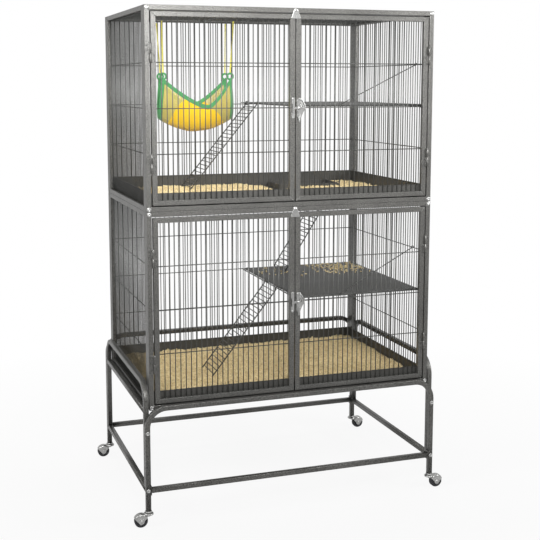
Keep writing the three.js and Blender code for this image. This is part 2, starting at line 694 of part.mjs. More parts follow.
// The guard wire runs outside the left and front edges and is tied to the plate by short wires.
function shelfGuard() {
  const z = SHELF_WIRE_Z;
  const radius = SHELF_WIRE / 2;
  const inset = SHELF_TIE_INSET;
  const half = SHELF_TIE / 2;
  const rise = SHELF_TIE_HEIGHT / 2;
  const parts = [
    rod(radius, [SHELF_WIRE_X, SHELF_WIRE_Y, z], [SHELF_WIRE_X, SHELF_REAR, z], 6),
    rod(radius, [SHELF_WIRE_X - 1, SHELF_WIRE_Y, z], [SHELF_RIGHT, SHELF_WIRE_Y, z], 6),
  ];
  for (let tie = 0; tie < SHELF_TIE_COUNT; tie += 1) {
    const share = tie / (SHELF_TIE_COUNT - 1);
    const y = SHELF_FRONT + inset + share * (SHELF_REAR - SHELF_FRONT - 2 * inset);
    const x = SHELF_LEFT + inset + share * (SHELF_RIGHT - SHELF_LEFT - 2 * inset);
    parts.push(block([SHELF_WIRE_X, y - half, z - rise], [SHELF_LEFT + SHEET / 2, y + half, z + rise]));
    parts.push(block([x - half, SHELF_WIRE_Y, z - rise], [x + half, SHELF_FRONT + SHEET / 2, z + rise]));
  }
  return parts;
}

const PANEL_WIRE_X = HALF_WIDTH - CROSS_INSET;
const PANEL_WIRE_Y = HALF_DEPTH - CROSS_INSET;
const REAR_SPAN = CAGE_WIDTH - 2 * FRAME;

// Hooks over the middle cross wires of the rear and right panels, midway between upright wires.
function shelfHooks() {
  const half = SHELF_HOOK_WIDTH / 2;
  const bottom = SHELF_BOTTOM;
  const over = WIRE / 2 + GAP;
  const parts = [];
  for (const share of SHELF_HOOK_SHARES) {
    const x = betweenWires(REAR_SPAN, SHELF_LEFT + share * (SHELF_RIGHT - SHELF_LEFT));
    const tip = PANEL_WIRE_Y + over;
    parts.push(block([x - half, SHELF_REAR - 1, bottom], [x + half, tip + SHEET, bottom + SHEET]));
    parts.push(block([x - half, tip, bottom - SHELF_HOOK_DROP], [x + half, tip + SHEET, bottom + SHEET]));
  }
  for (const share of SHELF_HOOK_SHARES) {
    const y = betweenWires(SIDE_SPAN, SHELF_FRONT + share * (SHELF_REAR - SHELF_FRONT));
    const tip = PANEL_WIRE_X + over;
    parts.push(block([SHELF_RIGHT - 1, y - half, bottom], [tip + SHEET, y + half, bottom + SHEET]));
    parts.push(block([tip, y - half, bottom - SHELF_HOOK_DROP], [tip + SHEET, y + half, bottom + SHEET]));
  }
  return parts;
}

function shelf(name) {
  return node(name, join([shelfTray(), ...shelfGuard(), ...shelfHooks()]), BLACK_WIRE);
}

// The stay from the shelf's front guard wire up to the top cross wire of the right panel.
function shelfBrace(name) {
  const footY = SHELF_WIRE_Y;
  const footZ = SHELF_WIRE_Z;
  const topY = wirePosition(SIDE_SPAN, BRACE_PANEL_WIRE + 0.5);
  const topZ = CROSS_WIRE_MIDDLE + CROSS_WIRE_SPACING;
  const foot = sidePlate(hookShape(HOOK_RADIUS, HOOK_WALL, ...BRACE_FOOT_ANGLES), 0, WIRE);
  const head = frontPlate(hookShape(WIRE_HOOK_RADIUS, HOOK_WALL, ...BRACE_HEAD_ANGLES), 0, WIRE);
  const parts = [
    foot.translate([BRACE_FOOT_X - WIRE / 2, footY, footZ]),
    head.translate([PANEL_WIRE_X, topY + WIRE / 2, topZ]),
    rod(WIRE / 2, [BRACE_FOOT_X, footY, footZ + HOOK_RADIUS + WIRE / 2], [PANEL_WIRE_X - 5, topY, topZ - 2], 6),
  ];
  return node(name, join(parts), BLACK_WIRE);
}

// Ladders: rails and rungs that hang from hooks at the origin and run towards -X.

function ladderSolid(length) {
  const half = LADDER_WIRE / 2;
  const parts = [];
  for (const side of [-1, 1]) {
    const y = side * (LADDER_WIDTH / 2 - half);
    const outline = hookShape(HOOK_RADIUS, HOOK_WALL, ...LADDER_HOOK_ANGLES);
    const hook = frontPlate(outline, half, LADDER_WIRE);
    parts.push(hook.translate([0, y, 0]));
    parts.push(block([-length, y - half, -half], [-RAIL_START, y + half, half]));
  }
  const reach = LADDER_WIDTH / 2 - half;
  for (let x = RUNG_PITCH; x < length; x += RUNG_PITCH) {
    parts.push(block([-x - RUNG / 2, -reach, -RUNG / 2], [-x + RUNG / 2, reach, RUNG / 2]));
  }
  return join(parts);
}

// The drop is the height from the hooks' centre to the surface that the ladder's foot stands on.
function ladder(name, drop, slope, x, y, z) {
  const rail = (LADDER_WIRE / 2) * Math.cos(radians(slope));
  const length = (drop - rail - GAP) / Math.sin(radians(slope));
  return turned(placed(node(name, ladderSolid(length), BLACK_WIRE), x, y, z), 'y', -slope);
}

function beddingCrest(depth) {
  return TRAY_FLOOR + GAP + depth + BEDDING_CREST * BEDDING_BUMP;
}

// Hammock: a trough of cloth, open at both ends, with a thick binding all round.

function hammockPoint(u, v) {
  const top = HAMMOCK_EDGE_DIP + (HAMMOCK_CORNER - HAMMOCK_EDGE_DIP) * Math.abs(u) ** 1.6;
  const bottom = HAMMOCK_BOTTOM + HAMMOCK_END_RISE * u * u;
  const climb = (1 - Math.cos((Math.abs(v) * Math.PI) / 2)) ** 1.15;
  const belly = 1.15 - 0.15 * u * u;
  const depth = HAMMOCK_HALF_DEPTH * belly * Math.sin((v * Math.PI) / 2);
  return new THREE.Vector3(u * HAMMOCK_HALF_WIDTH, depth, bottom + (top - bottom) * climb);
}

function hammockNormal(u, v) {
  const step = 0.01;
  const along = hammockPoint(u + step, v).sub(hammockPoint(u - step, v));
  const across = hammockPoint(u, v + step).sub(hammockPoint(u, v - step));
  return along.cross(across).normalize();
}

function hammock(name) {
  const geometry = new THREE.BoxGeometry(2, 2, 2, 16, 14, 1);
  const position = geometry.getAttribute('position');
  for (let index = 0; index < position.count; index += 1) {
    const u = position.getX(index);
    const v = position.getY(index);
    const edge = Math.max(Math.abs(u), Math.abs(v));
    const thickness = edge > 0.9 ? BINDING : CLOTH;
    const shift = hammockNormal(u, v).multiplyScalar((position.getZ(index) * thickness) / 2);
    const point = hammockPoint(u, v).add(shift);
    position.setXYZ(index, point.x, point.y, point.z);
  }
  return turned(placed(node(name, solid(geometry), CLOTH_YELLOW), HAMMOCK_X, HAMMOCK_Y, 0), 'z', HAMMOCK_TURN);
}

// A strap from a corner of the hammock up to a hook on the nearest roof wire.
function strap(name, endSide, depthSide) {
  const turn = radians(HAMMOCK_TURN);
  const corner = hammockPoint(endSide, depthSide).applyAxisAngle(new THREE.Vector3(0, 0, 1), turn);
  const roofSpan = SIDE_LENGTH - 2 * FRAME;
  const wanted = HAMMOCK_Y + corner.y + depthSide * STRAP_SPREAD;
  const number = Math.round(((wanted + roofSpan / 2) / roofSpan) * (wireCount(roofSpan) + 1));
  const wireY = wirePosition(roofSpan, number);
  const wireZ = STOREY_HEIGHT - WIRE_INSET;
  const topX = HAMMOCK_X + corner.x + endSide * STRAP_SPREAD;
  const foot = [HAMMOCK_X + corner.x, HAMMOCK_Y + corner.y, corner.z + 2 * GAP];
  const top = [topX, wireY, STRAP_TOP];
  const hookMiddle = WIRE_HOOK_RADIUS + STRAP_WIRE / 2;
  const ribbon = new THREE.BoxGeometry(STRAP_WIDTH, distance(foot, top), CLOTH);
  const hook = sidePlate(hookShape(WIRE_HOOK_RADIUS, STRAP_WIRE, ...STRAP_HOOK_ANGLES), 0, STRAP_WIRE);
  const parts = [
    solid(alongLine(ribbon, foot, top)),
    hook.translate([topX - STRAP_WIRE / 2, wireY, wireZ]),
    rod(STRAP_WIRE / 2, [topX, wireY - hookMiddle, wireZ - 1], [topX, wireY, STRAP_TOP - STRAP_WIRE], 6),
  ];
  return node(name, join(parts), CLOTH_YELLOW);
}

// Stand

// The outline of a tube bent into an arch: two legs and a top bar with round corners.
function archShape(halfSpan, bottom, top) {
  const outer = halfSpan + TUBE / 2;
  const inner = halfSpan - TUBE / 2;
  const outerBend = BEND_RADIUS + TUBE / 2;
  const innerBend = BEND_RADIUS - TUBE / 2;
  const bendX = halfSpan - BEND_RADIUS;
  const bendZ = top - BEND_RADIUS;
  const shape = new THREE.Shape();
  shape.moveTo(inner, bottom);
  shape.lineTo(outer, bottom);
  shape.absarc(bendX, bendZ, outerBend, 0, Math.PI / 2, false);
  shape.absarc(-bendX, bendZ, outerBend, Math.PI / 2, Math.PI, false);
  shape.lineTo(-outer, bottom);
  shape.lineTo(-inner, bottom);
  shape.absarc(-bendX, bendZ, innerBend, Math.PI, Math.PI / 2, true);
  shape.absarc(bendX, bendZ, innerBend, Math.PI / 2, 0, true);
  shape.closePath();
  return shape;
}

const TUBE_SETTINGS = {
  depth: TUBE - 2 * TUBE_EDGE,
  bevelEnabled: true,
  bevelThickness: TUBE_EDGE,
  bevelSize: TUBE_EDGE,
  bevelOffset: -TUBE_EDGE,
  bevelSegments: 1,
  curveSegments: 4,
};

function tubeSection() {
  const flat = TUBE / 2 - TUBE_EDGE;
  const shape = new THREE.Shape();
  shape.moveTo(-flat, -TUBE / 2);
  shape.lineTo(flat, -TUBE / 2);
  shape.lineTo(TUBE / 2, -flat);
  shape.lineTo(TUBE / 2, flat);
  shape.lineTo(flat, TUBE / 2);
  shape.lineTo(-flat, TUBE / 2);
  shape.lineTo(-TUBE / 2, flat);
  shape.lineTo(-TUBE / 2, -flat);
  shape.closePath();
  return shape;
}

function straightTubeX(halfLength, y, z) {
  return sidePlate(tubeSection(), -halfLength, 2 * halfLength).translate([0, y, z]);
}

function straightTubeY(halfLength, x, z) {
  return frontPlate(tubeSection(), halfLength, 2 * halfLength).translate([x, 0, z]);
}

// The front or rear arch. The side is -1 for the front and 1 for the rear.
function standArch(name, side, top) {
  const arch = frontPlate(archShape(LEG_X, LEG_BOTTOM, top), TUBE / 2 - TUBE_EDGE, TUBE, TUBE_SETTINGS);
  const parts = [arch];
  for (const leg of [-1, 1]) {
    for (const z of [STAND_BOLT_HIGH, LOWER_BAR]) {
      const face = TUBE / 2;
      parts.push(rod(BOLT_RADIUS, [leg * LEG_X, side * (face - 1), z], [leg * LEG_X, side * (face + BOLT_HEAD), z], 6));
    }
  }
  return placed(node(name, join(parts), HAMMERTONE), 0, side * LEG_Y, 0);
}

// A side frame: arch, lower bar and the support bar with the ledge that carries the cage.
function standSide(name, side) {
  const settings = { ...TUBE_SETTINGS };
  const arch = sidePlate(archShape(SIDE_LEG_Y, LOWER_BAR, SIDE_TOP), TUBE_EDGE - TUBE / 2, TUBE, settings);
  const ledgeTop = STAND_HEIGHT - GAP;
  const inner = -side * (LEG_X - HALF_WIDTH + LEDGE_REACH);
  const ledge = spanBlock(
    inner, -side * (TUBE / 2 - 1),
    -SIDE_LEG_Y + TUBE, SIDE_LEG_Y - TUBE,
    ledgeTop - LEDGE_THICKNESS, ledgeTop,
  );
  const bars = [
    straightTubeY(SIDE_LEG_Y + TUBE / 2 - GAP, 0, LOWER_BAR),
    straightTubeY(SIDE_LEG_Y, 0, SUPPORT_BAR),
  ];
  return placed(node(name, join([arch, ledge, ...bars]), HAMMERTONE), side * LEG_X, 0, 0);
}

// A lower bar between two legs, with a plate at each end that the legs' bolts pass through.
function standBar(name, side) {
  const reach = LEG_X - TUBE / 2 - GAP;
  const bar = straightTubeX(reach, 0, 0);
  const half = BRACKET_HEIGHT / 2;
  const plates = [-1, 1].map((end) => spanBlock(
    end * reach, end * (reach - BRACKET_THICKNESS), -TUBE / 2, TUBE / 2, -half, half,
  ));
  return placed(node(name, join([bar, ...plates]), HAMMERTONE), 0, side * LEG_Y, LOWER_BAR);
}

// Castors, drawn with the swivel axis at the origin and the wheel towards +X.

function castorSocket(name) {
  const top = LEG_BOTTOM - GAP;
  const collar = rod(SOCKET_RADIUS, [0, 0, top - SOCKET_HEIGHT], [0, 0, top], 12);
  const stem = rod(STEM_RADIUS, [0, 0, top - STEM_LENGTH], [0, 0, top - 1], 8);
  return node(name, collar.add(stem), ZINC);
}

function hoodProfile() {
  const half = HOOD_HALF_WIDTH;
  const points = [
    [0, -half],
    [HOOD_RADIUS - HOOD_SHOULDER, -half],
    [HOOD_RADIUS, -half + HOOD_SHOULDER],
    [HOOD_RADIUS, half - HOOD_SHOULDER],
    [HOOD_RADIUS - HOOD_SHOULDER, half],
    [0, half],
    [0, -half],
  ];
  return points.map(([radius, height]) => new THREE.Vector2(radius, height));
}

// The side outline that the hood is trimmed to: down one cheek, round the hub and out to the peak.
function hoodOutline() {
  const shape = new THREE.Shape();
  shape.moveTo(-3, 60);
  shape.lineTo(-3, 36);
  shape.lineTo(5, 32);
  shape.lineTo(TRAIL + 1, 11);
  shape.quadraticCurveTo(TRAIL + 6, 8, TRAIL + 11, 14);
  shape.lineTo(TRAIL + 17, 26);
  shape.lineTo(TRAIL + 26, 31);
  shape.lineTo(TRAIL + 26, 60);
  shape.closePath();
  return shape;
}

function castorFork(name) {
  const flangeTop = LEG_BOTTOM - 2 * GAP - SOCKET_HEIGHT;
  const flangeBottom = flangeTop - FLANGE_HEIGHT;
  const cavity = WHEEL_WIDTH / 2 + HOOD_CLEAR;
  const hood = solid(new THREE.LatheGeometry(hoodProfile(), 14)).translate([TRAIL, 0, WHEEL_RADIUS]);
  const trimmed = hood.intersect(frontPlate(hoodOutline(), 20, 40));
  const shell = join([
    trimmed,
    rod(FLANGE_RADIUS, [0, 0, flangeBottom], [0, 0, flangeTop], 12),
    block(
      [-NECK_REAR, -NECK_HALF_DEPTH, flangeBottom - NECK_DROP],
      [NECK_FRONT, NECK_HALF_DEPTH, flangeBottom + 1],
    ),
  ]);
  const space = WHEEL_RADIUS + HOOD_CLEAR;
  const hollow = rod(space, [TRAIL, -cavity, WHEEL_RADIUS], [TRAIL, cavity, WHEEL_RADIUS], 14);
  const bore = rod(STEM_RADIUS + AXLE_CLEARANCE, [0, 0, flangeBottom + 1], [0, 0, flangeTop + 1], 8);
  const reach = HOOD_HALF_WIDTH - 1;
  const axle = rod(AXLE_RADIUS, [TRAIL, -reach, WHEEL_RADIUS], [TRAIL, reach, WHEEL_RADIUS], 8);
  return node(name, shell.subtract(hollow).subtract(bore).add(axle), ZINC);
}

function wheelProfile() {
  const half = WHEEL_WIDTH / 2;
  const bore = AXLE_RADIUS + AXLE_CLEARANCE;
  const points = [
    [bore, -half],
    [WHEEL_RADIUS - TREAD_SHOULDER, -half],
    [WHEEL_RADIUS, -half + TREAD_SHOULDER],
    [WHEEL_RADIUS, half - TREAD_SHOULDER],
    [WHEEL_RADIUS - TREAD_SHOULDER, half],
    [bore, half],
    [bore, -half],
  ];
  return points.map(([radius, height]) => new THREE.Vector2(radius, height));
}

function castorWheel(name) {
  const wheel = solid(new THREE.LatheGeometry(wheelProfile(), 16));
  return placed(node(name, wheel, TYRE), TRAIL, 0, WHEEL_RADIUS);
}

function castor(place, sideX, sideY) {
  const group = placed(new THREE.Group(), sideX * LEG_X, sideY * LEG_Y, 0);
  group.add(castorSocket(`castor_socket_${place}`));
  group.add(castorFork(`castor_fork_${place}`));
  group.add(castorWheel(`castor_wheel_${place}`));
  return turned(group, 'z', sideX < 0 ? 180 : 0);
}

// Assembly

function storey(prefix, z) {
  const group = placed(new THREE.Group(), 0, 0, z);
  group.add(frontFrame(`${prefix}_front_frame`));
  group.add(rearPanel(`${prefix}_rear_panel`));
  group.add(sidePanel(`${prefix}_left_panel`, -1));
  group.add(sidePanel(`${prefix}_right_panel`, 1));
  group.add(door(`${prefix}_left_door`, -1));
  group.add(door(`${prefix}_right_door`, 1));
  group.add(strike(`${prefix}_latch_strike`));
  group.add(latchPlate(`${prefix}_latch_plate`));
  group.add(latchLever(`${prefix}_latch_lever`));
  group.add(turnButton(`${prefix}_turn_button`));
  group.add(shelf(`${prefix}_shelf`));
  group.add(shelfBrace(`${prefix}_shelf_brace`));
  return group;
}

function lowerStorey() {
  const group = storey('lower', STAND_HEIGHT);
  group.add(tray('lower_tray'));
  group.add(lowerBedding('lower_bedding'));
  const drop = SHELF_WIRE_Z - beddingCrest(LOWER_BEDDING);
  group.add(ladder('lower_ladder', drop, LOWER_LADDER_ANGLE,
    SHELF_WIRE_X, LOWER_LADDER_Y, SHELF_WIRE_Z));
  return group;
}

function upperStorey() {
  const group = storey('upper', STAND_HEIGHT + STOREY_PITCH);
  group.add(roofPanel('roof_panel'));
  group.add(hatchTray('upper_tray'));
  group.add(rimSide('hatch_rim_left', HATCH_LEFT - SHEET));
  group.add(rimSide('hatch_rim_right', HATCH_RIGHT));
  group.add(rimEnd('hatch_rim_front', HATCH_FRONT - SHEET));
  group.add(rimEnd('hatch_rim_rear', HATCH_REAR));
  group.add(leftHeap('upper_bedding_left'));
  group.add(rightHeap('upper_bedding_right'));
  const upperDrop = SHELF_WIRE_Z - beddingCrest(UPPER_BEDDING);
  group.add(ladder('upper_ladder', upperDrop, UPPER_LADDER_ANGLE,
    SHELF_WIRE_X, UPPER_LADDER_Y, SHELF_WIRE_Z));
  const middleDrop = STOREY_PITCH + HATCH_RIM - SHELF_TOP;
  group.add(ladder('middle_ladder', middleDrop, MIDDLE_LADDER_ANGLE,
    HATCH_RIGHT + SHEET / 2, MIDDLE_LADDER_Y, HATCH_RIM));
  group.add(hammock('hammock'));
  group.add(strap('hammock_strap_front_left', -1, -1));
  group.add(strap('hammock_strap_front_right', 1, -1));
  group.add(strap('hammock_strap_rear_left', -1, 1));
  group.add(strap('hammock_strap_rear_right', 1, 1));
  return group;
}

function stand() {
  const group = new THREE.Group();
  group.add(standArch('stand_front_arch', -1, FRONT_TOP));
  group.add(standArch('stand_rear_arch', 1, REAR_TOP));
  group.add(standSide('stand_left_side', -1));
  group.add(standSide('stand_right_side', 1));
  group.add(standBar('stand_front_bar', -1));
  group.add(standBar('stand_rear_bar', 1));
  group.add(castor('front_left', -1, -1));
  group.add(castor('front_right', 1, -1));
  group.add(castor('rear_left', -1, 1));
  group.add(castor('rear_right', 1, 1));
  return group;
}

const group = new THREE.Group();
group.name = 'ferret_cage';
group.add(stand(), lowerStorey(), upperStorey());

export default group;
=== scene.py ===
"""A two-storey ferret cage on a wheeled tube stand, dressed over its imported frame."""

import json
import math
import random

import bmesh
import bpy
from bpy.props import FloatProperty, FloatVectorProperty, IntProperty, PointerProperty
from mathutils import Matrix, Vector, noise


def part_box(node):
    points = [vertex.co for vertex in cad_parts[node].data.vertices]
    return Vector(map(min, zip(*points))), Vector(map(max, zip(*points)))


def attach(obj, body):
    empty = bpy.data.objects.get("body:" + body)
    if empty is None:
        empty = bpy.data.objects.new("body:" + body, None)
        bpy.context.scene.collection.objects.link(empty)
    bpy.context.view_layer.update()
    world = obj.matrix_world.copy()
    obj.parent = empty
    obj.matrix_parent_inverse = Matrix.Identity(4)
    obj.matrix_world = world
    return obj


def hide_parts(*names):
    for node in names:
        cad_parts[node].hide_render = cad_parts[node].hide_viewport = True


bl_info = {
    "name": "Ferret Cage",
    "version": (1, 0, 0),
    "blender": (4, 5, 0),
    "location": "View3D > Sidebar > Cage",
    "description": "Builds the wire panels, doors, stand, castors, trays, ladders and hammock of a cage",
    "category": "Add Mesh",
}

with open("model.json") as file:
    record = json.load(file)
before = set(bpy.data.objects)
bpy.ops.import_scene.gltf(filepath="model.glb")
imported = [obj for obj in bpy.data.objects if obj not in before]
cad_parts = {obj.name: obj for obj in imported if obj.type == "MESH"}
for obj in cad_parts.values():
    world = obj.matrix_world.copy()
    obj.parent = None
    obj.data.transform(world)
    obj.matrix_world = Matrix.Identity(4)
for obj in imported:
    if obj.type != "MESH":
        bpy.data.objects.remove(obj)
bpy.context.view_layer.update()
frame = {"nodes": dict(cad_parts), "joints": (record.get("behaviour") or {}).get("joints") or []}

STOREYS = ("lower", "upper")
SIDES = {"left": -1, "right": 1}
ENDS = {"front": -1, "rear": 1}
LADDERS = {"lower_ladder": 51.3, "upper_ladder": 50.2, "middle_ladder": 57.2}  # slope in degrees
PAINTED = ("hammered_paint", "wire_paint")

PIN_FROM_SIDE = 0.017  # hinge pin to the cage's side face
PIN_FORWARD = 0.005  # hinge pin in front of the door's face
HINGE_CLEARANCE = 0.00015  # from the middle of a hinge to each half
SHEET = 0.0015  # folded sheet of trays and shelves, and the latch strips
SOFT_EDGE = 0.0004  # rounding of sheet edges
TOUCH = 0.0003  # how far touching parts sink into each other or stand apart
BOLT_INSET = 0.0075
BED_CELL = 0.008  # grid step of a bed's surface
PELLET_SINK = 0.0012  # a bed's surface under its loose pellets
LOOP_RADIUS = 0.0095  # tape loops at the hammock's corners
HAMMOCK_TURN = -9  # degrees about the upright

CAMERA_PLACE = (-1.1391, -3.3356, 1.3614)
CAMERA_DOWN, CAMERA_RIGHT = 7.3, 18.902  # degrees
CAMERA_LENS = 68.92  # millimetres
CAMERA_SHIFT = (0.0117, -0.1)
# name: place, target, diameter, watts, spread in degrees
LAMPS = {
    "key_light": ((-0.4, -2.2, 2.0), (0, 0, 1.42), 1.3, 15.0, 75),
    "fill_light": ((2.0, -1.6, 1.9), (0.4, 0, 1.4), 1.2, 9.0, 80),
    "side_light": ((-2.1, -0.7, 1.9), (-0.475, 0, 1.4), 1.2, 9.0, 80),
    "top_light": ((0.2, 0.6, 3.4), (0, 0, 1.0), 2.0, 22.0, 180),
}


# Sizes and colours


def length(name, description, default):
    return FloatProperty(
        name=name, description=description, default=default, min=0.0, subtype="DISTANCE", unit="LENGTH"
    )


def colour(name, description, default):
    return FloatVectorProperty(
        name=name, description=description, default=default, size=3, min=0.0, max=1.0, subtype="COLOR"
    )


class CageSizes(bpy.types.PropertyGroup):
    """Sizes of the cage that the frame's boxes don't give."""

    frame_bar: length("Frame bar", "Side of the square frame bars", 0.015)
    bar_edge: length("Bar edge", "Rounding of the frame bars' edges", 0.0011)
    corner_stile: length("Corner stile", "Width of a side panel's stiles", 0.025)
    door_stile: length("Door stile", "Width of a door's stiles", 0.016)
    door_gap: length("Door gap", "Gap round a door", 0.0036)
    wire: length("Wire", "Diameter of the panel wires", 0.003)
    wire_pitch: length("Wire pitch", "Distance between upright wires", 0.017)
    cross_middle: length("Middle cross wire", "Height of the middle cross wire in a storey", 0.309)
    cross_spacing: length("Cross wire spacing", "Distance between cross wires", 0.1365)
    hinge_spread: length("Hinge spread", "Height of a hinge above or below the middle cross wire", 0.164)
    hinge_half: length("Hinge half", "Length of one half of a hinge", 0.029)
    knuckle: length("Hinge knuckle", "Radius of a hinge knuckle", 0.0035)
    button_height: length("Button height", "Height of the turn button's rivet in a storey", 0.6065)
    latch_height: length("Latch height", "Height of the latch in a storey", 0.308)
    tube: length("Stand tube", "Side of the stand's square tube", 0.016)
    tube_edge: length("Tube edge", "Corner radius of the stand's tube", 0.0026)
    bend: length("Tube bend", "Radius of the stand's bends", 0.06)
    trail: length("Castor trail", "Distance from the swivel to the axle", 0.024)
    wheel: length("Wheel radius", "Radius of a castor wheel", 0.021)
    shelf_left: length("Shelf left", "Left edge of a shelf from the middle", 0.025)
    shelf_margin: length("Shelf margin", "Gap from a shelf to the side panel's face", 0.02)
    shelf_end_margin: length("Shelf end margin", "Gap from a shelf to the front and rear faces", 0.04)
    shelf_skirt: length("Shelf skirt", "Height of a shelf's folded edge", 0.006)
    guard_out: length("Guard distance", "Distance of the guard wire from the shelf", 0.013)
    hatch_width: length("Hatch width", "Width of the ladder hatch", 0.225)
    hatch_depth: length("Hatch depth", "Depth of the ladder hatch", 0.135)
    hatch_side: length("Hatch side", "Distance from the hatch to the tray's right side", 0.119)
    hatch_rear: length("Hatch rear", "Distance from the hatch to the tray's rear side", 0.024)
    hatch_rim: length("Hatch rim", "Height of the hatch's rim in a storey", 0.024)
    hammock_from_side: length("Hammock place", "Distance from the left side to the hammock's middle", 0.237)
    shelf_wire: length("Guard wire", "Diameter of the shelf's guard wire", 0.004)
    ladder_wire: length("Ladder wire", "Diameter of a ladder's rails", 0.004)
    rung: length("Rung", "Diameter of a rung", 0.003)
    rung_pitch: length("Rung pitch", "Distance between rungs", 0.0155)
    pellet: length("Pellet", "Diameter of a bedding pellet", 0.0048)
    pellets_per_area: IntProperty(
        name="Pellets", description="Loose pellets on one square metre", default=17000, min=0
    )


class CageColours(bpy.types.PropertyGroup):
    """Colours of the cage."""

    paint_light: colour("Paint, light", "Light speckles of the hammered paint", (0.225, 0.221, 0.208))
    paint_dark: colour("Paint, dark", "Dark pits of the hammered paint", (0.024, 0.024, 0.022))
    wire: colour("Wire", "Paint of the wires", (0.075, 0.076, 0.072))
    zinc: colour("Zinc", "Bright zinc of the fittings", (0.5, 0.5, 0.49))
    tray: colour("Tray", "Paint of the trays", (0.068, 0.067, 0.062))
    shelf: colour("Shelf", "Paint of the shelves", (0.10, 0.10, 0.096))
    tyre: colour("Tyre", "Rubber of the wheels", (0.014, 0.014, 0.016))
    pellet_light: colour("Pellet, light", "Light pellets", (0.8, 0.67, 0.39))
    pellet_dark: colour("Pellet, dark", "Dark pellets", (0.36, 0.25, 0.11))
    cloth: colour("Cloth", "Thick cloth of the hammock", (0.84, 0.53, 0.008))
    mesh_cloth: colour("Mesh cloth", "Thin mesh cloth of the hammock", (0.5, 0.42, 0.11))
    binding: colour("Binding", "Green binding of the hammock", (0.055, 0.26, 0.085))
    strap: colour("Strap", "Ribbon of the straps", (0.66, 0.6, 0.1))
    floor: colour("Floor", "Pale floor", (0.9, 0.9, 0.9))


def sizes():
    return bpy.context.scene.cage_sizes


def colours():
    return bpy.context.scene.cage_colours


# Shader node groups


def new_group(name, inputs, outputs):
    group = bpy.data.node_groups.new(name, "ShaderNodeTree")
    for label, kind, default in inputs:
        socket = group.interface.new_socket(label, in_out="INPUT", socket_type=kind)
        if default is not None:
            socket.default_value = default
    for label, kind in outputs:
        group.interface.new_socket(label, in_out="OUTPUT", socket_type=kind)
    return group, group.nodes.new("NodeGroupInput"), group.nodes.new("NodeGroupOutput")


def made_once(name):
    """Makes a node group at its first use and returns the same one after that."""
    def wrap(maker):
        return lambda: bpy.data.node_groups.get(name) or maker(name)
    return wrap


def uv_axes(group):
    """The X and Y of a piece's UV map, as the outputs of a split node."""
    place = group.nodes.new("ShaderNodeTexCoord")
    split = group.nodes.new("ShaderNodeSeparateXYZ")
    group.links.new(place.outputs["UV"], split.inputs["Vector"])
    return split.outputs


def set_inputs(node, **values):
    for label, value in values.items():
        node.inputs[label.replace("_", " ")].default_value = value


def math_node(tree, operation, first, second):
    node = tree.nodes.new("ShaderNodeMath")
    node.operation = operation
    for socket, value in zip(node.inputs, (first, second)):
        if isinstance(value, (int, float)):
            socket.default_value = value
        else:
            tree.links.new(value, socket)
    return node.outputs["Value"]


@made_once("Blotches")
def blotches(name):
    """Soft patches of a given size, from 0 to 1, for wear, dust and uneven finish."""
    inputs = [("Scale", "NodeSocketFloat", 20.0), ("Sharpness", "NodeSocketFloat", 0.15)]
    group, source, target = new_group(name, inputs, [("Mask", "NodeSocketFloat")])
    place = group.nodes.new("ShaderNodeTexCoord")
    cloud = group.nodes.new("ShaderNodeTexNoise")
    cloud.inputs["Detail"].default_value = 4.0
    spread = group.nodes.new("ShaderNodeMapRange")
    spread.interpolation_type = "SMOOTHSTEP"
    group.links.new(place.outputs["Object"], cloud.inputs["Vector"])
    group.links.new(source.outputs["Scale"], cloud.inputs["Scale"])
    group.links.new(cloud.outputs["Fac"], spread.inputs["Value"])
    low = math_node(group, "SUBTRACT", 0.5, source.outputs["Sharpness"])
    high = math_node(group, "ADD", 0.5, source.outputs["Sharpness"])
    group.links.new(low, spread.inputs["From Min"])
    group.links.new(high, spread.inputs["From Max"])
    group.links.new(spread.outputs["Result"], target.inputs["Mask"])
    return group


@made_once("Hammered Grain")
def hammered_grain(name):
    """The pitted and speckled skin of hammered paint."""
    outputs = [("Speckle", "NodeSocketFloat"), ("Height", "NodeSocketFloat")]
    group, source, target = new_group(name, [("Scale", "NodeSocketFloat", 300.0)], outputs)
    place = group.nodes.new("ShaderNodeTexCoord")
    cells = group.nodes.new("ShaderNodeTexVoronoi")
    cells.feature = "SMOOTH_F1"
    grain = group.nodes.new("ShaderNodeTexNoise")
    set_inputs(grain, Detail=3.0, Roughness=0.65)
    fine = math_node(group, "MULTIPLY", source.outputs["Scale"], 1.7)
    for texture, scale in ((cells, source.outputs["Scale"]), (grain, fine)):
        group.links.new(place.outputs["Object"], texture.inputs["Vector"])
        group.links.new(scale, texture.inputs["Scale"])
    spread = group.nodes.new("ShaderNodeMapRange")
    set_inputs(spread, From_Min=0.34, From_Max=0.66)
    group.links.new(grain.outputs["Fac"], spread.inputs["Value"])
    group.links.new(spread.outputs["Result"], target.inputs["Speckle"])
    group.links.new(cells.outputs["Distance"], target.inputs["Height"])
    return group


@made_once("Weave")
def weave(name):
    """Threads that cross at right angles along a piece's UV map: height, and the open holes."""
    outputs = [("Height", "NodeSocketFloat"), ("Open", "NodeSocketFloat")]
    group, source, target = new_group(name, [("Threads", "NodeSocketFloat", 900.0)], outputs)
    axes = uv_axes(group)
    waves = []
    for axis in ("X", "Y"):
        run = math_node(group, "MULTIPLY", axes[axis], source.outputs["Threads"])
        wave = math_node(group, "SINE", run, 0.0)
        waves.append(math_node(group, "ABSOLUTE", wave, 0.0))
    height = math_node(group, "MAXIMUM", waves[0], waves[1])
    hole = math_node(group, "LESS_THAN", height, 0.62)
    group.links.new(height, target.inputs["Height"])
    group.links.new(hole, target.inputs["Open"])
    return group


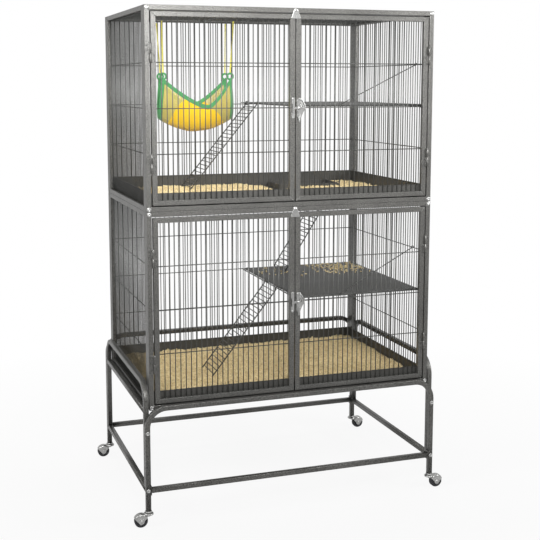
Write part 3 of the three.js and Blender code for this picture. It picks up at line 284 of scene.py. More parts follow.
@made_once("Oval Mask")
def oval_mask(name):
    """1 inside an oval about the middle of a piece's UV map."""
    inputs = [("Width", "NodeSocketFloat", 1.0), ("Height", "NodeSocketFloat", 1.0)]
    group, source, target = new_group(name, inputs, [("Mask", "NodeSocketFloat")])
    axes = uv_axes(group)
    squares = []
    for axis, label in (("X", "Width"), ("Y", "Height")):
        share = math_node(group, "DIVIDE", axes[axis], source.outputs[label])
        squares.append(math_node(group, "MULTIPLY", share, share))
    total = math_node(group, "ADD", squares[0], squares[1])
    group.links.new(math_node(group, "LESS_THAN", total, 1.0), target.inputs["Mask"])
    return group


# Materials


def new_material(name):
    material = bpy.data.materials.new(name)
    material.use_nodes = True
    tree = material.node_tree
    shader = tree.nodes["Principled BSDF"]
    return material, tree, shader


def add_group(tree, group, **values):
    node = tree.nodes.new("ShaderNodeGroup")
    node.node_tree = group
    set_inputs(node, **values)
    return node


def mix_colours(tree, factor, first, second):
    node = tree.nodes.new("ShaderNodeMix")
    node.data_type = "RGBA"
    tree.links.new(factor, node.inputs["Factor"])
    for socket, value in ((node.inputs["A"], first), (node.inputs["B"], second)):
        if isinstance(value, bpy.types.NodeSocket):
            tree.links.new(value, socket)
        else:
            socket.default_value = (*value, 1.0)
    return node.outputs["Result"]


def mix_range(tree, factor, low, high):
    node = tree.nodes.new("ShaderNodeMapRange")
    set_inputs(node, To_Min=low, To_Max=high)
    tree.links.new(factor, node.inputs["Value"])
    return node.outputs["Result"]


def add_bump(tree, shader, height, strength, distance):
    bump = tree.nodes.new("ShaderNodeBump")
    set_inputs(bump, Strength=strength, Distance=distance)
    tree.links.new(height, bump.inputs["Height"])
    tree.links.new(bump.outputs["Normal"], shader.inputs["Normal"])


def shade(colour_value, factor):
    """A colour made darker or lighter by a factor, as a plain triple."""
    return tuple(min(1.0, part * factor) for part in colour_value)


def dress(tree, shader, tone, roughness, bump, **fixed):
    """Links a finish's colour, roughness and bump, and sets its fixed values."""
    tree.links.new(tone, shader.inputs["Base Color"])
    tree.links.new(mix_range(tree, *roughness), shader.inputs["Roughness"])
    set_inputs(shader, **fixed)
    add_bump(tree, shader, *bump)


def cell_texture(tree, **values):
    place = tree.nodes.new("ShaderNodeTexCoord")
    cells = tree.nodes.new("ShaderNodeTexVoronoi")
    set_inputs(cells, **values)
    tree.links.new(place.outputs["Object"], cells.inputs["Vector"])
    return cells


def grain_and_patches(tree, grain_scale, patch_scale, sharpness):
    """The speckle, the height and the patches that most finishes are mixed from."""
    grain = add_group(tree, hammered_grain(), Scale=grain_scale)
    patches = add_group(tree, blotches(), Scale=patch_scale, Sharpness=sharpness)
    return grain.outputs["Speckle"], grain.outputs["Height"], patches.outputs["Mask"]


def hammered_paint():
    material, tree, shader = new_material("hammered_paint")
    speckle, height, patches = grain_and_patches(tree, 250.0, 9.0, 0.3)
    dark, light = colours().paint_dark, colours().paint_light
    speckled = mix_colours(tree, speckle, dark, light)
    dull = mix_colours(tree, speckle, shade(dark, 0.7), shade(light, 0.78))
    dress(tree, shader, mix_colours(tree, patches, speckled, dull), (speckle, 0.5, 0.3),
          (height, 0.35, 0.0006), Metallic=0.55, Coat_Weight=0.25, Coat_Roughness=0.25)
    return material


def plain_paint(name, base, metallic, rough_low, rough_high, grain_scale):
    """Baked paint with fine orange peel and uneven gloss."""
    material, tree, shader = new_material(name)
    speckle, height, patches = grain_and_patches(tree, grain_scale, 14.0, 0.25)
    tone = mix_colours(tree, speckle, shade(base, 0.75), shade(base, 1.35))
    worn = mix_colours(tree, patches, tone, shade(base, 1.15))
    dress(tree, shader, worn, (patches, rough_low, rough_high), (height, 0.2, 0.0003), Metallic=metallic)
    return material


def bright_zinc():
    material, tree, shader = new_material("bright_zinc")
    speckle, height, patches = grain_and_patches(tree, 900.0, 60.0, 0.3)
    base = colours().zinc
    tone = mix_colours(tree, patches, base, shade(base, 0.82))
    dress(tree, shader, tone, (speckle, 0.2, 0.34), (height, 0.08, 0.0002), Metallic=1.0)
    return material


def perforated_sheet():
    """Shelf paint over a close pattern of small pressed dimples, each darkened by painted shade."""
    material, tree, shader = new_material("perforated_sheet")
    cells = cell_texture(tree, Scale=190.0, Randomness=0.12)
    pits = tree.nodes.new("ShaderNodeMapRange")
    pits.interpolation_type = "SMOOTHSTEP"
    set_inputs(pits, From_Min=0.22, From_Max=0.4)
    tree.links.new(cells.outputs["Distance"], pits.inputs["Value"])
    patches = add_group(tree, blotches(), Scale=12.0, Sharpness=0.3).outputs["Mask"]
    pit, base = pits.outputs["Result"], colours().shelf
    # painted shade: each dimple is darkened to a quarter of the shelf paint, and to four tenths in the dusty
    # patches
    holes = mix_colours(tree, pit, shade(base, 0.25), base)
    dust_and_dimple_shade = mix_colours(tree, pit, shade(base, 0.4), shade(base, 1.5))
    dress(tree, shader, mix_colours(tree, patches, holes, dust_and_dimple_shade), (patches, 0.42, 0.62),
          (pit, 0.5, 0.0008), Metallic=0.35)
    return material


def tyre_rubber():
    material, tree, shader = new_material("tyre_rubber")
    _, height, dust = grain_and_patches(tree, 700.0, 45.0, 0.2)
    base = colours().tyre
    tone = mix_colours(tree, dust, base, shade(base, 3.0))
    dress(tree, shader, tone, (dust, 0.55, 0.85), (height, 0.2, 0.0003))
    return material


def pellet_wood():
    """Pressed wood: each pellet has its own tone, with fine fibre grain and cracks."""
    material, tree, shader = new_material("pellet_wood")
    cells = cell_texture(tree, Scale=150.0)
    split = tree.nodes.new("ShaderNodeSeparateColor")
    tree.links.new(cells.outputs["Color"], split.inputs["Color"])
    grain = add_group(tree, hammered_grain(), Scale=1500.0)
    light = colours().pellet_light
    tone = mix_colours(tree, split.outputs["Red"], colours().pellet_dark, light)
    fibre = mix_colours(tree, grain.outputs["Speckle"], tone, shade(light, 1.12))
    dress(tree, shader, fibre, (grain.outputs["Speckle"], 0.8, 0.95), (grain.outputs["Height"], 0.4, 0.0006))
    return material


def hammock_cloth():
    """Thin khaki mesh at the sides with painted shade between its threads, thick golden cloth in the round
    bottom panel.
    """
    material, tree, shader = new_material("hammock_cloth")
    threads = add_group(tree, weave(), Threads=260.0)
    mask = add_group(tree, oval_mask(), Width=0.385, Height=0.99).outputs["Mask"]
    patches = add_group(tree, blotches(), Scale=30.0, Sharpness=0.35)
    mesh_colour, cloth_colour = colours().mesh_cloth, colours().cloth
    height = threads.outputs["Height"]
    # painted shade: the mesh is darker where its threads dip, between the crossings
    thin = mix_colours(tree, height, shade(mesh_colour, 0.7), mesh_colour)
    thick = mix_colours(tree, patches.outputs["Mask"], cloth_colour, shade(cloth_colour, 0.86))
    inverse = math_node(tree, "SUBTRACT", 1.0, mask)
    holes = math_node(tree, "MULTIPLY", threads.outputs["Open"], inverse)
    tree.links.new(math_node(tree, "SUBTRACT", 1.0, holes), shader.inputs["Alpha"])
    dress(tree, shader, mix_colours(tree, mask, thin, thick), (height, 0.95, 0.8), (height, 0.35, 0.0006),
          Sheen_Weight=0.25)
    return material


def woven_tape(name, base, threads):
    material, tree, shader = new_material(name)
    lines = add_group(tree, weave(), Threads=threads).outputs["Height"]
    patches = add_group(tree, blotches(), Scale=70.0, Sharpness=0.3)
    # painted shade and painted highlight: the tape is darker in the valleys between its threads and lighter
    # on their crests
    tone = mix_colours(tree, lines, shade(base, 0.6), shade(base, 1.15))
    worn = mix_colours(tree, patches.outputs["Mask"], tone, shade(base, 0.85))
    dress(tree, shader, worn, (lines, 0.9, 0.72), (lines, 0.4, 0.0004), Sheen_Weight=0.3)
    return material


def finish(name):
    """A finish by name, made once."""
    if name in bpy.data.materials:
        return bpy.data.materials[name]
    makers = {
        "hammered_paint": hammered_paint,
        "wire_paint": lambda: plain_paint("wire_paint", colours().wire, 0.45, 0.32, 0.5, 500.0),
        "tray_paint": lambda: plain_paint("tray_paint", colours().tray, 0.35, 0.35, 0.55, 260.0),
        "bright_zinc": bright_zinc,
        "perforated_sheet": perforated_sheet,
        "tyre_rubber": tyre_rubber,
        "pellet_wood": pellet_wood,
        "hammock_cloth": hammock_cloth,
        "green_binding": lambda: woven_tape("green_binding", colours().binding, 700.0),
        "strap_ribbon": lambda: woven_tape("strap_ribbon", colours().strap, 500.0),
    }
    return makers[name]()


# Mesh tools


def verts_in(geometry):
    return [item for item in geometry if isinstance(item, bmesh.types.BMVert)]


def move_mesh(bm, matrix):
    bmesh.ops.transform(bm, matrix=matrix, verts=bm.verts)


def smooth_all(bm):
    for face in bm.faces:
        face.smooth = True


def cube_between(bm, low, high):
    made = bmesh.ops.create_cube(bm, size=1.0)["verts"]
    bmesh.ops.scale(bm, vec=high - low, verts=made)
    bmesh.ops.translate(bm, vec=(low + high) / 2, verts=made)
    return made


def faces_of(verts):
    return list({face for vert in verts for face in vert.link_faces})


def edges_of(verts):
    return list({edge for vert in verts for edge in vert.link_edges})


def paint_faces(verts, material, smooth=False):
    for face in faces_of(verts):
        face.material_index = material
        face.smooth = smooth


def round_edges(bm, verts, offset, segments=2):
    bmesh.ops.bevel(
        bm, geom=edges_of(verts), offset=offset, segments=segments, profile=0.5, affect="EDGES", material=-1
    )


def block(bm, low, high, material=0, edge=0.0):
    low, high = Vector(low), Vector(high)
    made = cube_between(bm, low, high)
    paint_faces(made, material)
    if edge:
        round_edges(bm, made, edge)


def rod(bm, start, end, radius, sides=10, material=0):
    start, end = Vector(start), Vector(end)
    axis = end - start
    turn = axis.to_track_quat("Z", "Y").to_matrix().to_4x4()
    place = Matrix.Translation((start + end) / 2) @ turn
    made = bmesh.ops.create_cone(
        bm, cap_ends=True, segments=sides, radius1=radius, radius2=radius, depth=axis.length, matrix=place
    )["verts"]
    direction = axis.normalized()
    for face in faces_of(made):
        face.normal_update()
        face.material_index = material
        face.smooth = abs(face.normal.dot(direction)) < 0.7


def lathe(bm, profile, centre, axis, steps=32, material=0, smooth=True):
    """Spins a closed or axis-to-axis profile of (radius, height) pairs about an axis."""
    centre, axis = Vector(centre), Vector(axis).normalized()
    across = axis.orthogonal().normalized()
    verts = [bm.verts.new(centre + across * radius + axis * height) for radius, height in profile]
    edges = [bm.edges.new(pair) for pair in zip(verts, verts[1:])]
    made = bmesh.ops.spin(
        bm, geom=verts + edges, cent=centre, axis=axis, dvec=(0, 0, 0), angle=2 * math.pi,
        steps=steps, use_merge=True, use_normal_flip=False, use_duplicate=False,
    )
    last = verts_in(made["geom_last"])
    ring = list({vert for face in faces_of(verts + last) for vert in face.verts})
    whole = grown(ring)
    bmesh.ops.remove_doubles(bm, verts=whole, dist=1e-6)
    whole = [vert for vert in whole if vert.is_valid]
    faces = faces_of(whole)
    bmesh.ops.recalc_face_normals(bm, faces=faces)
    for face in faces:
        face.material_index = material
        face.smooth = smooth
    return whole


def grown(verts):
    """All the vertices joined to the given ones."""
    found = set(verts)
    front = list(verts)
    while front:
        vert = front.pop()
        for edge in vert.link_edges:
            other = edge.other_vert(vert)
            if other not in found:
                found.add(other)
                front.append(other)
    return list(found)


def outline_plate(bm, points, back, thickness, material=0, edge=0.0):
    """A flat outline in X and Z made into a plate from y = back towards the front."""
    verts = [bm.verts.new((x, back, z)) for x, z in points]
    face = bm.faces.new(verts)
    made = bmesh.ops.extrude_face_region(bm, geom=[face])["geom"]
    moved = verts_in(made)
    bmesh.ops.translate(bm, vec=(0, -thickness, 0), verts=moved)
    whole = verts + moved
    faces = faces_of(whole)
    bmesh.ops.recalc_face_normals(bm, faces=faces)
    paint_faces(whole, material)
    if edge:
        rim = [item for item in edges_of(moved) if all(vert in moved for vert in item.verts)]
        bmesh.ops.bevel(bm, geom=rim, offset=edge, segments=2, profile=0.5, affect="EDGES", material=-1)


def arc(centre_x, centre_z, radius, start, end, steps):
    turns = [math.radians(start + (end - start) * step / steps) for step in range(steps + 1)]
    return [(centre_x + radius * math.cos(turn), centre_z + radius * math.sin(turn)) for turn in turns]


class Tube:
    """A tube drawn along straight runs and bends, from a section of vertices."""

    def __init__(self, bm, verts, material=0):
        self.bm = bm
        self.material = material
        self.verts = list(verts)
        self.ring = [bm.edges.new(pair) for pair in zip(verts, verts[1:] + verts[:1])]
        self.first = list(self.ring)
        self.made = set()

    def _keep(self, geometry):
        verts = verts_in(geometry)
        last = set(verts)
        edges = [item for item in geometry if isinstance(item, bmesh.types.BMEdge)]
        self.ring = [edge for edge in edges if all(vert in last for vert in edge.verts)]
        self.verts.extend(verts)

    def straight(self, offset):
        made = bmesh.ops.extrude_edge_only(self.bm, edges=self.ring)["geom"]
        verts = verts_in(made)
        bmesh.ops.translate(self.bm, vec=offset, verts=verts)
        self._keep(made)
        return self

    def bend(self, centre, axis, angle, steps=10):
        verts = list({vert for edge in self.ring for vert in edge.verts})
        made = bmesh.ops.spin(
            self.bm, geom=verts + self.ring, cent=centre, axis=axis, dvec=(0, 0, 0), angle=angle,
            steps=steps, use_merge=False, use_normal_flip=False, use_duplicate=False,
        )
        self._keep(made["geom_last"])
        return self

    def close(self):
        for ring in (self.first, self.ring):
            bmesh.ops.edgeloop_fill(self.bm, edges=ring)
        whole = grown(self.verts)
        faces = faces_of(whole)
        bmesh.ops.recalc_face_normals(self.bm, faces=faces)
        for face in faces:
            face.material_index = self.material
            face.smooth = len(face.verts) == 4


def square_section(bm, centre, first_axis, second_axis, side, corner):
    """The vertices of a square with round corners."""
    centre, first_axis, second_axis = Vector(centre), Vector(first_axis), Vector(second_axis)
    inner = side / 2 - corner
    steps = 4
    verts = []
    for quarter in range(4):
        middle = math.radians(45 + 90 * quarter)
        x = math.copysign(inner, math.cos(middle))
        y = math.copysign(inner, math.sin(middle))
        for step in range(steps + 1):
            turn = math.radians(90 * quarter + 90 * step / steps)
            offset_x = x + corner * math.cos(turn)
            offset_y = y + corner * math.sin(turn)
            verts.append(bm.verts.new(centre + first_axis * offset_x + second_axis * offset_y))
    return verts


def round_section(bm, centre, first_axis, second_axis, radius, sides=10):
    centre, first_axis, second_axis = Vector(centre), Vector(first_axis), Vector(second_axis)
    turns = [2 * math.pi * step / sides for step in range(sides)]
    return [
        bm.verts.new(centre + first_axis * radius * math.cos(turn) + second_axis * radius * math.sin(turn))
        for turn in turns
    ]


def piece_from(bm, name, finishes, body, replaces=()):
    mesh = bpy.data.meshes.new(name)
    bm.to_mesh(mesh)
    bm.free()
    for item in finishes:
        mesh.materials.append(finish(item))
    piece = bpy.data.objects.new(name, mesh)
    bpy.context.scene.collection.objects.link(piece)
    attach(piece, body)
    if replaces:
        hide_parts(*replaces)
    return piece


def node_box(node):
    low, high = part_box(node)
    return Vector(low), Vector(high)


def storey_base(storey):
    return node_box(f"{storey}_rear_panel")[0].z


def cage_box():
    """The cage body's walls: its lowest and highest corners over both storeys."""
    low = node_box("lower_rear_panel")[0]
    high = node_box("upper_rear_panel")[1]
    front = node_box("lower_front_frame")[1].y - sizes().frame_bar
    return Vector((low.x, front, low.z)), Vector((high.x, high.y, high.z))


# Wire panels


def mitred_bar(bm, outer, inner, depth, edge):
    """One bar of a frame, its ends cut to the corners' mitres."""
    made = bmesh.ops.create_cube(bm, size=1.0)["verts"]
    for vert in made:
        row = outer if vert.co.z > 0 else inner
        x, z = row[1] if vert.co.x > 0 else row[0]
        vert.co = (x, depth if vert.co.y > 0 else 0.0, z)
    bmesh.ops.recalc_face_normals(bm, faces=faces_of(made))
    round_edges(bm, made, edge)


def mitred_frame(bm, width, height, stile, rail):
    depth = sizes().frame_bar
    outer = [(-width / 2, 0), (width / 2, 0), (width / 2, height), (-width / 2, height)]
    left, right = -width / 2 + stile, width / 2 - stile
    inner = [(left, rail), (right, rail), (right, height - rail), (left, height - rail)]
    for number in range(4):
        after = (number + 1) % 4
        mitred_bar(bm, (outer[number], outer[after]), (inner[number], inner[after]), depth, sizes().bar_edge)


def wire_count(span):
    return round(span / sizes().wire_pitch) - 1


def wire_places(span):
    count = wire_count(span)
    return [-span / 2 + number * span / (count + 1) for number in range(1, count + 1)]


def wire_panel(width, height, stile, rail, cross_heights):
    """A panel seen from outside: outer face at y = 0, foot at z = 0, wires and cross wires."""
    bm = bmesh.new()
    mitred_frame(bm, width, height, stile, rail)
    radius = sizes().wire / 2
    middle = sizes().frame_bar / 2
    for x in wire_places(width - 2 * stile):
        rod(bm, (x, middle, rail * 0.5), (x, middle, height - rail * 0.5), radius, 10, 1)
    reach = (width - stile) / 2
    for z in cross_heights:
        y = middle + radius * 1.85
        rod(bm, (-reach, y, z), (reach, y, z), radius, 10, 1)
    return bm


def cross_heights(bottom=0.0):
    middle = sizes().cross_middle - bottom
    return [middle + step * sizes().cross_spacing for step in (-1, 0, 1)]


def place_mesh(bm, location, turn=0.0):
    matrix = Matrix.Translation(location) @ Matrix.Rotation(math.radians(turn), 4, "Z")
    move_mesh(bm, matrix)


def build_rear_panel(storey):
    low, high = node_box(f"{storey}_rear_panel")
    bar = sizes().frame_bar
    bm = wire_panel(high.x - low.x, high.z - low.z, bar, bar, cross_heights())
    place_mesh(bm, (0, high.y, low.z), 180)
    piece_from(bm, f"{storey}_rear_grille", PAINTED, "cage", [f"{storey}_rear_panel"])


def build_side_panel(storey, side_name):
    side = SIDES[side_name]
    node = f"{storey}_{side_name}_panel"
    low, high = node_box(node)
    bar = sizes().frame_bar
    bm = wire_panel(high.y - low.y, high.z - low.z, sizes().corner_stile, bar, cross_heights())
    half = (high.y - low.y) / 2 - bar
    runner = high.x - low.x - bar
    block(bm, (-half, bar - 0.001, 0.001), (half, bar + runner, 0.0027), 0, SOFT_EDGE)
    outside = low.x if side < 0 else high.x
    place_mesh(bm, (outside, 0, low.z), side * 90)
    piece_from(bm, f"{storey}_{side_name}_grille", PAINTED, "cage", [node])


def build_roof():
    low, high = node_box("roof_panel")
    bar = sizes().frame_bar
    across, along = high.y - low.y, high.x - low.x
    ribs = [along / 2 + step * sizes().cross_spacing for step in (-1, 0, 1)]
    bm = wire_panel(across, along, bar, bar, ribs)
    lay = Matrix.Translation((0, 0, high.z)) @ Matrix.Rotation(math.radians(-90), 4, "Z")
    lay = lay @ Matrix.Translation((0, -along / 2, 0)) @ Matrix.Rotation(math.radians(-90), 4, "X")
    move_mesh(bm, lay)
    piece_from(bm, "roof_grille", PAINTED, "cage", ["roof_panel"])


# Doors and hinges


def hinge_heights():
    return [sizes().cross_middle + step * sizes().hinge_spread for step in (-1, 1)]


def hinge_half(bm, pin, leaf_x, leaf_side, bottom, top, leaf):
    """The knuckle, the web and the screwed leaf of one hinge half, on a face at y = 0."""
    leaf_end = leaf_x + leaf_side * leaf
    radius = sizes().knuckle
    lathe(bm, [(0, bottom), (radius - 0.0005, bottom), (radius, bottom + 0.0005), (radius, top - 0.0005),
               (radius - 0.0005, top), (0, top)], (pin[0], pin[1], 0), (0, 0, 1), 20)
    web = sorted((pin[0] + leaf_side * 0.0022, leaf_x + leaf_side * leaf * 0.4))
    block(bm, (web[0], -0.0033, bottom + 0.0005), (web[1], 0.0002, top - 0.0005), 0, 0.0006)
    flat = sorted((leaf_x, leaf_end))
    block(bm, (flat[0], -0.0013, bottom), (flat[1], 0.0002, top), 0, SOFT_EDGE)
    for height in (bottom + 0.007, top - 0.007):
        domed_head(bm, (leaf_x + leaf_side * leaf * 0.68, -0.0013, height), 0.0024, 0.0009, 1)


def domed_head(bm, place, radius, rise, material=0, steps=16, axis=(0, -1, 0)):
    """A shallow round head on a face that looks along the axis."""
    profile = [(radius, -0.0004), (radius, rise * 0.35), (radius * 0.86, rise * 0.8), (radius * 0.5, rise),
               (0, rise)]
    lathe(bm, profile, place, axis, steps, material)


def hinge_pin_x(side):
    return side * (cage_box()[1].x - PIN_FROM_SIDE)


def build_front_frame(storey):
    node = f"{storey}_front_frame"
    low, high = cage_box()
    bar = sizes().frame_bar
    height = node_box(node)[1].z - node_box(node)[0].z
    bm = bmesh.new()
    mitred_frame(bm, high.x - low.x, height, bar, bar)
    for side in SIDES.values():
        pin = (hinge_pin_x(side), -PIN_FORWARD)
        for place in hinge_heights():
            leaf_x = side * (high.x - bar + 0.0005)
            bottom, top = place + HINGE_CLEARANCE, place + sizes().hinge_half
            hinge_half(bm, pin, leaf_x, side, bottom, top, 0.012)
            rod(bm, (*pin, place - 0.025), (*pin, place + 0.001), 0.0015, 12)
    place_mesh(bm, (0, low.y, storey_base(storey)))
    piece_from(bm, f"{storey}_door_frame", PAINTED, "cage", [node])


def build_door(storey, side_name):
    side = SIDES[side_name]
    node = f"{storey}_{side_name}_door"
    low, high = cage_box()
    bar, gap = sizes().frame_bar, sizes().door_gap
    width = (high.x - low.x - 2 * bar - 3 * gap) / 2
    box_low, box_high = node_box(node)
    height = box_high.z - box_low.z
    bottom = box_low.z - storey_base(storey)
    bm = wire_panel(width, height, sizes().door_stile, bar, cross_heights(bottom))
    place_mesh(bm, (side * (width + gap) / 2, 0, bottom))
    pin = (hinge_pin_x(side), -PIN_FORWARD)
    leaf_x = side * (high.x - bar - gap - 0.0005)
    for place in hinge_heights():
        foot, top = place - sizes().hinge_half, place - HINGE_CLEARANCE
        hinge_half(bm, pin, leaf_x, -side, foot, top, 0.0148)
    place_mesh(bm, (0, low.y, storey_base(storey)))
    piece_from(bm, f"{storey}_{side_name}_door_grille", PAINTED,
               f"{storey}_{side_name}_door", [node])


# Latches, turn buttons and bolts


def strip_outline(width, length_value, steps=8):
    radius = width / 2
    straight = length_value / 2 - radius
    return arc(0, straight, radius, 0, 180, steps) + arc(0, -straight, radius, 180, 360, steps)


def end_screws(bm, tall):
    for end in (-1, 1):
        domed_head(bm, (0, -SHEET, end * (tall / 2 - 0.004)), 0.0022, 0.0011, 0, 18)


def build_strike(storey):
    """The ribbed strip on the left door, with the keeper for the lever's tongue."""
    low, high = node_box(f"{storey}_latch_strike")
    centre = (low + high) / 2
    back = high.y
    width, tall = high.x - low.x, high.z - low.z
    bm = bmesh.new()
    outline_plate(bm, strip_outline(width, tall), 0, SHEET, 0, SOFT_EDGE)
    keeper_half, reach = 0.013, 0.0065 - width / 2
    block(bm, (-width / 2, -0.0074, -keeper_half), (-width / 2 + 0.002, -0.0003, keeper_half), 0, 0.0005)
    block(bm, (-width / 2, -0.0074, -keeper_half), (reach, -0.0059, keeper_half), 0, 0.0005)
    for number in range(5):
        z = -keeper_half + 0.0026 + number * 0.0045
        block(bm, (-width / 2 + 0.0012, -0.0079, z), (reach - 0.0008, -0.0072, z + 0.0022), 0, 0.0003)
    end_screws(bm, tall)
    place_mesh(bm, (centre.x, back, centre.z))
    piece_from(bm, f"{storey}_strike_strip", ["bright_zinc"], f"{storey}_left_door",
               [f"{storey}_latch_strike"])


def build_latch_plate(storey):
    low, high = node_box(f"{storey}_latch_plate")
    centre = (low + high) / 2
    tall = high.z - low.z
    bm = bmesh.new()
    outline_plate(bm, strip_outline(high.x - low.x, tall), 0, SHEET, 0, SOFT_EDGE)
    rod(bm, (0, -0.0003, 0), (0, -0.0062, 0), 0.003, 24)
    domed_head(bm, (0, -0.0059, 0), 0.0052, 0.0016, 0, 24)
    end_screws(bm, tall)
    place_mesh(bm, (centre.x, high.y, centre.z))
    piece_from(bm, f"{storey}_latch_base", ["bright_zinc"], f"{storey}_right_door",
               [f"{storey}_latch_plate"])


def quadratic(start, control, end, steps=8):
    points = []
    for step in range(1, steps + 1):
        share = step / steps
        a, b, c = (1 - share) ** 2, 2 * share * (1 - share), share ** 2
        points.append(tuple(a * p + b * q + c * r for p, q, r in zip(start, control, end)))
    return points


def build_latch_lever(storey):
    """The D-shaped lever with its tail, its tongue and a raised finger rib."""
    low, high = node_box(f"{storey}_latch_plate")
    pivot_x = (low.x + high.x) / 2
    pivot_z = (low.z + high.z) / 2
    back = node_box(f"{storey}_latch_lever")[1].y
    outline = [(-0.006, 0.028), (-0.006, 0.004), (-0.0205, 0.004), (-0.0205, -0.004), (-0.006, -0.004),
               (-0.002, -0.043), (0.003, -0.043)]
    outline += quadratic((0.003, -0.043), (0.008, -0.016), (0.021, -0.002))
    outline += quadratic((0.021, -0.002), (0.021, 0.016), (0.002, 0.032))
    bm = bmesh.new()
    outline_plate(bm, outline, 0, 0.0026, 0, 0.0006)
    for reach, rise in ((0.0195, 0.0305), (0.0132, 0.0215), (0.0072, 0.0125)):
        inner_reach, inner_rise = reach - 0.0032, rise - 0.004
        rib = [(reach, 0.0)] + quadratic((reach, 0.0), (reach, rise * 0.55), (0.002, rise))
        rib += [(0.002, inner_rise)]
        rib += quadratic((0.002, inner_rise), (inner_reach, inner_rise * 0.55), (inner_reach, 0.0))
        outline_plate(bm, rib, -0.0025, 0.0044, 0, 0.0009)
    outline_plate(bm, [(-0.0008, -0.0405), (0.0018, -0.0405), (0.0068, -0.018), (0.002, -0.016)], -0.0025,
                  0.0024, 0, 0.0005)
    place_mesh(bm, (pivot_x, back, pivot_z))
    piece_from(bm, f"{storey}_latch_handle", ["bright_zinc"], f"{storey}_latch_lever",
               [f"{storey}_latch_lever"])


def build_turn_button(storey):
    """The triangular plate that turns on a rivet over both doors."""
    low, high = node_box(f"{storey}_turn_button")
    pivot_z = storey_base(storey) + sizes().button_height
    base, drop = high.x, pivot_z - low.z
    outline = arc(0, 0, 0.0065, 35, 145, 8)
    outline += arc(-base + 0.003, -drop + 0.003, 0.003, 160, 270, 4)
    outline += arc(base - 0.003, -drop + 0.003, 0.003, 270, 380, 4)
    bm = bmesh.new()
    outline_plate(bm, outline, 0, high.y - low.y, 0, 0.0006)
    place_mesh(bm, (0, high.y, pivot_z))
    piece_from(bm, f"{storey}_turn_plate", ["bright_zinc"], f"{storey}_turn_button",
               [f"{storey}_turn_button"])


def button_rivet(bm, storey):
    low = node_box(f"{storey}_turn_button")[0]
    z = storey_base(storey) + sizes().button_height
    rod(bm, (0, low.y + 0.002, z), (0, low.y - 0.0004, z), 0.003, 20)
    domed_head(bm, (0, low.y - 0.0004, z), 0.0053, 0.0017, 0, 24)


def hex_bolt(bm, place, axis):
    """A domed bolt head on a thin washer."""
    place, axis = Vector(place), Vector(axis)
    lathe(bm, [(0.0066, -0.0003), (0.0066, 0.0006), (0.0062, 0.0009), (0, 0.0009)], place, axis, 28)
    lathe(bm, [(0.0054, 0.0006), (0.0054, 0.0014), (0.0046, 0.0024), (0.0028, 0.0029), (0.0026, 0.0021),
               (0, 0.0021)], place, axis, 28)


def build_bolts():
    low, high = cage_box()
    bm = bmesh.new()
    for storey in STOREYS:
        node_low, node_high = node_box(f"{storey}_front_frame")
        for side in SIDES.values():
            for z in (node_low.z + BOLT_INSET, node_high.z - BOLT_INSET):
                hex_bolt(bm, (side * (high.x - BOLT_INSET), low.y, z), (0, -1, 0))
        button_rivet(bm, storey)
    leg_x, leg_y = leg_places()
    bar_z = sum(value.z for value in node_box("stand_front_bar")) / 2
    for side in SIDES.values():
        for end in ENDS.values():
            face = end * (leg_y + sizes().tube / 2)
            for z in (low.z - 0.066, bar_z):
                hex_bolt(bm, (side * leg_x, face, z), (0, end, 0))
    piece_from(bm, "frame_bolts", ["bright_zinc"], "cage")


# Stand


def leg_places():
    """The middle of a leg across and along."""
    high = node_box("stand_front_arch")[1]
    bar_low, bar_high = node_box("stand_rear_bar")
    return high.x - sizes().tube / 2, (bar_low.y + bar_high.y) / 2


def hoop(bm, foot, along, span, top, axis):
    """A tube that rises from a foot, bends, runs along, bends and comes down again."""
    foot, along, bend = Vector(foot), Vector(along), sizes().bend
    rise = Vector((0, 0, top - bend - foot.z))
    tube = Tube(bm, square_section(bm, foot, (1, 0, 0), (0, 1, 0), sizes().tube, sizes().tube_edge))
    tube.straight(rise)
    tube.bend(foot + rise + along * bend, axis, math.pi / 2)
    tube.straight(along * (span - 2 * bend))
    tube.bend(foot + rise + along * (span - bend), axis, math.pi / 2)
    tube.straight(-rise)
    tube.close()


def build_arch(end_name):
    end = ENDS[end_name]
    node = f"stand_{end_name}_arch"
    low, high = node_box(node)
    leg_x, leg_y = leg_places()
    bm = bmesh.new()
    hoop(bm, (-leg_x, end * leg_y, low.z), (1, 0, 0), 2 * leg_x, high.z - sizes().tube / 2, (0, 1, 0))
    piece_from(bm, f"{end_name}_tube_arch", ["hammered_paint"], "cage", [node])


def straight_tube(bm, start, offset, first_axis, second_axis):
    section = square_section(bm, start, first_axis, second_axis, sizes().tube, sizes().tube_edge)
    Tube(bm, section).straight(offset).close()


def build_side_frame(side_name):
    side = SIDES[side_name]
    node = f"stand_{side_name}_side"
    low, high = node_box(node)
    tube_side = sizes().tube
    x = side * leg_places()[0]
    leg = high.y - tube_side / 2
    bottom = low.z + tube_side / 2
    bm = bmesh.new()
    hoop(bm, (x, -leg, bottom), (0, 1, 0), 2 * leg, high.z - tube_side / 2, (-1, 0, 0))
    cage_floor = cage_box()[0].z
    axes = ((1, 0, 0), (0, 0, 1))
    reach = leg + tube_side / 2
    straight_tube(bm, (x, -reach + 0.0003, bottom), (0, 2 * reach - 0.0006, 0), *axes)
    straight_tube(bm, (x, -leg, cage_floor - 0.001), (0, 2 * leg, 0), *axes)
    ledge = sorted((low.x if side > 0 else high.x, x - side * 0.007))
    inside = leg - tube_side
    block(bm, (ledge[0], -inside, cage_floor - 0.0023), (ledge[1], inside, cage_floor - TOUCH), 0, SOFT_EDGE)
    piece_from(bm, f"{side_name}_tube_frame", ["hammered_paint"], "cage", [node])


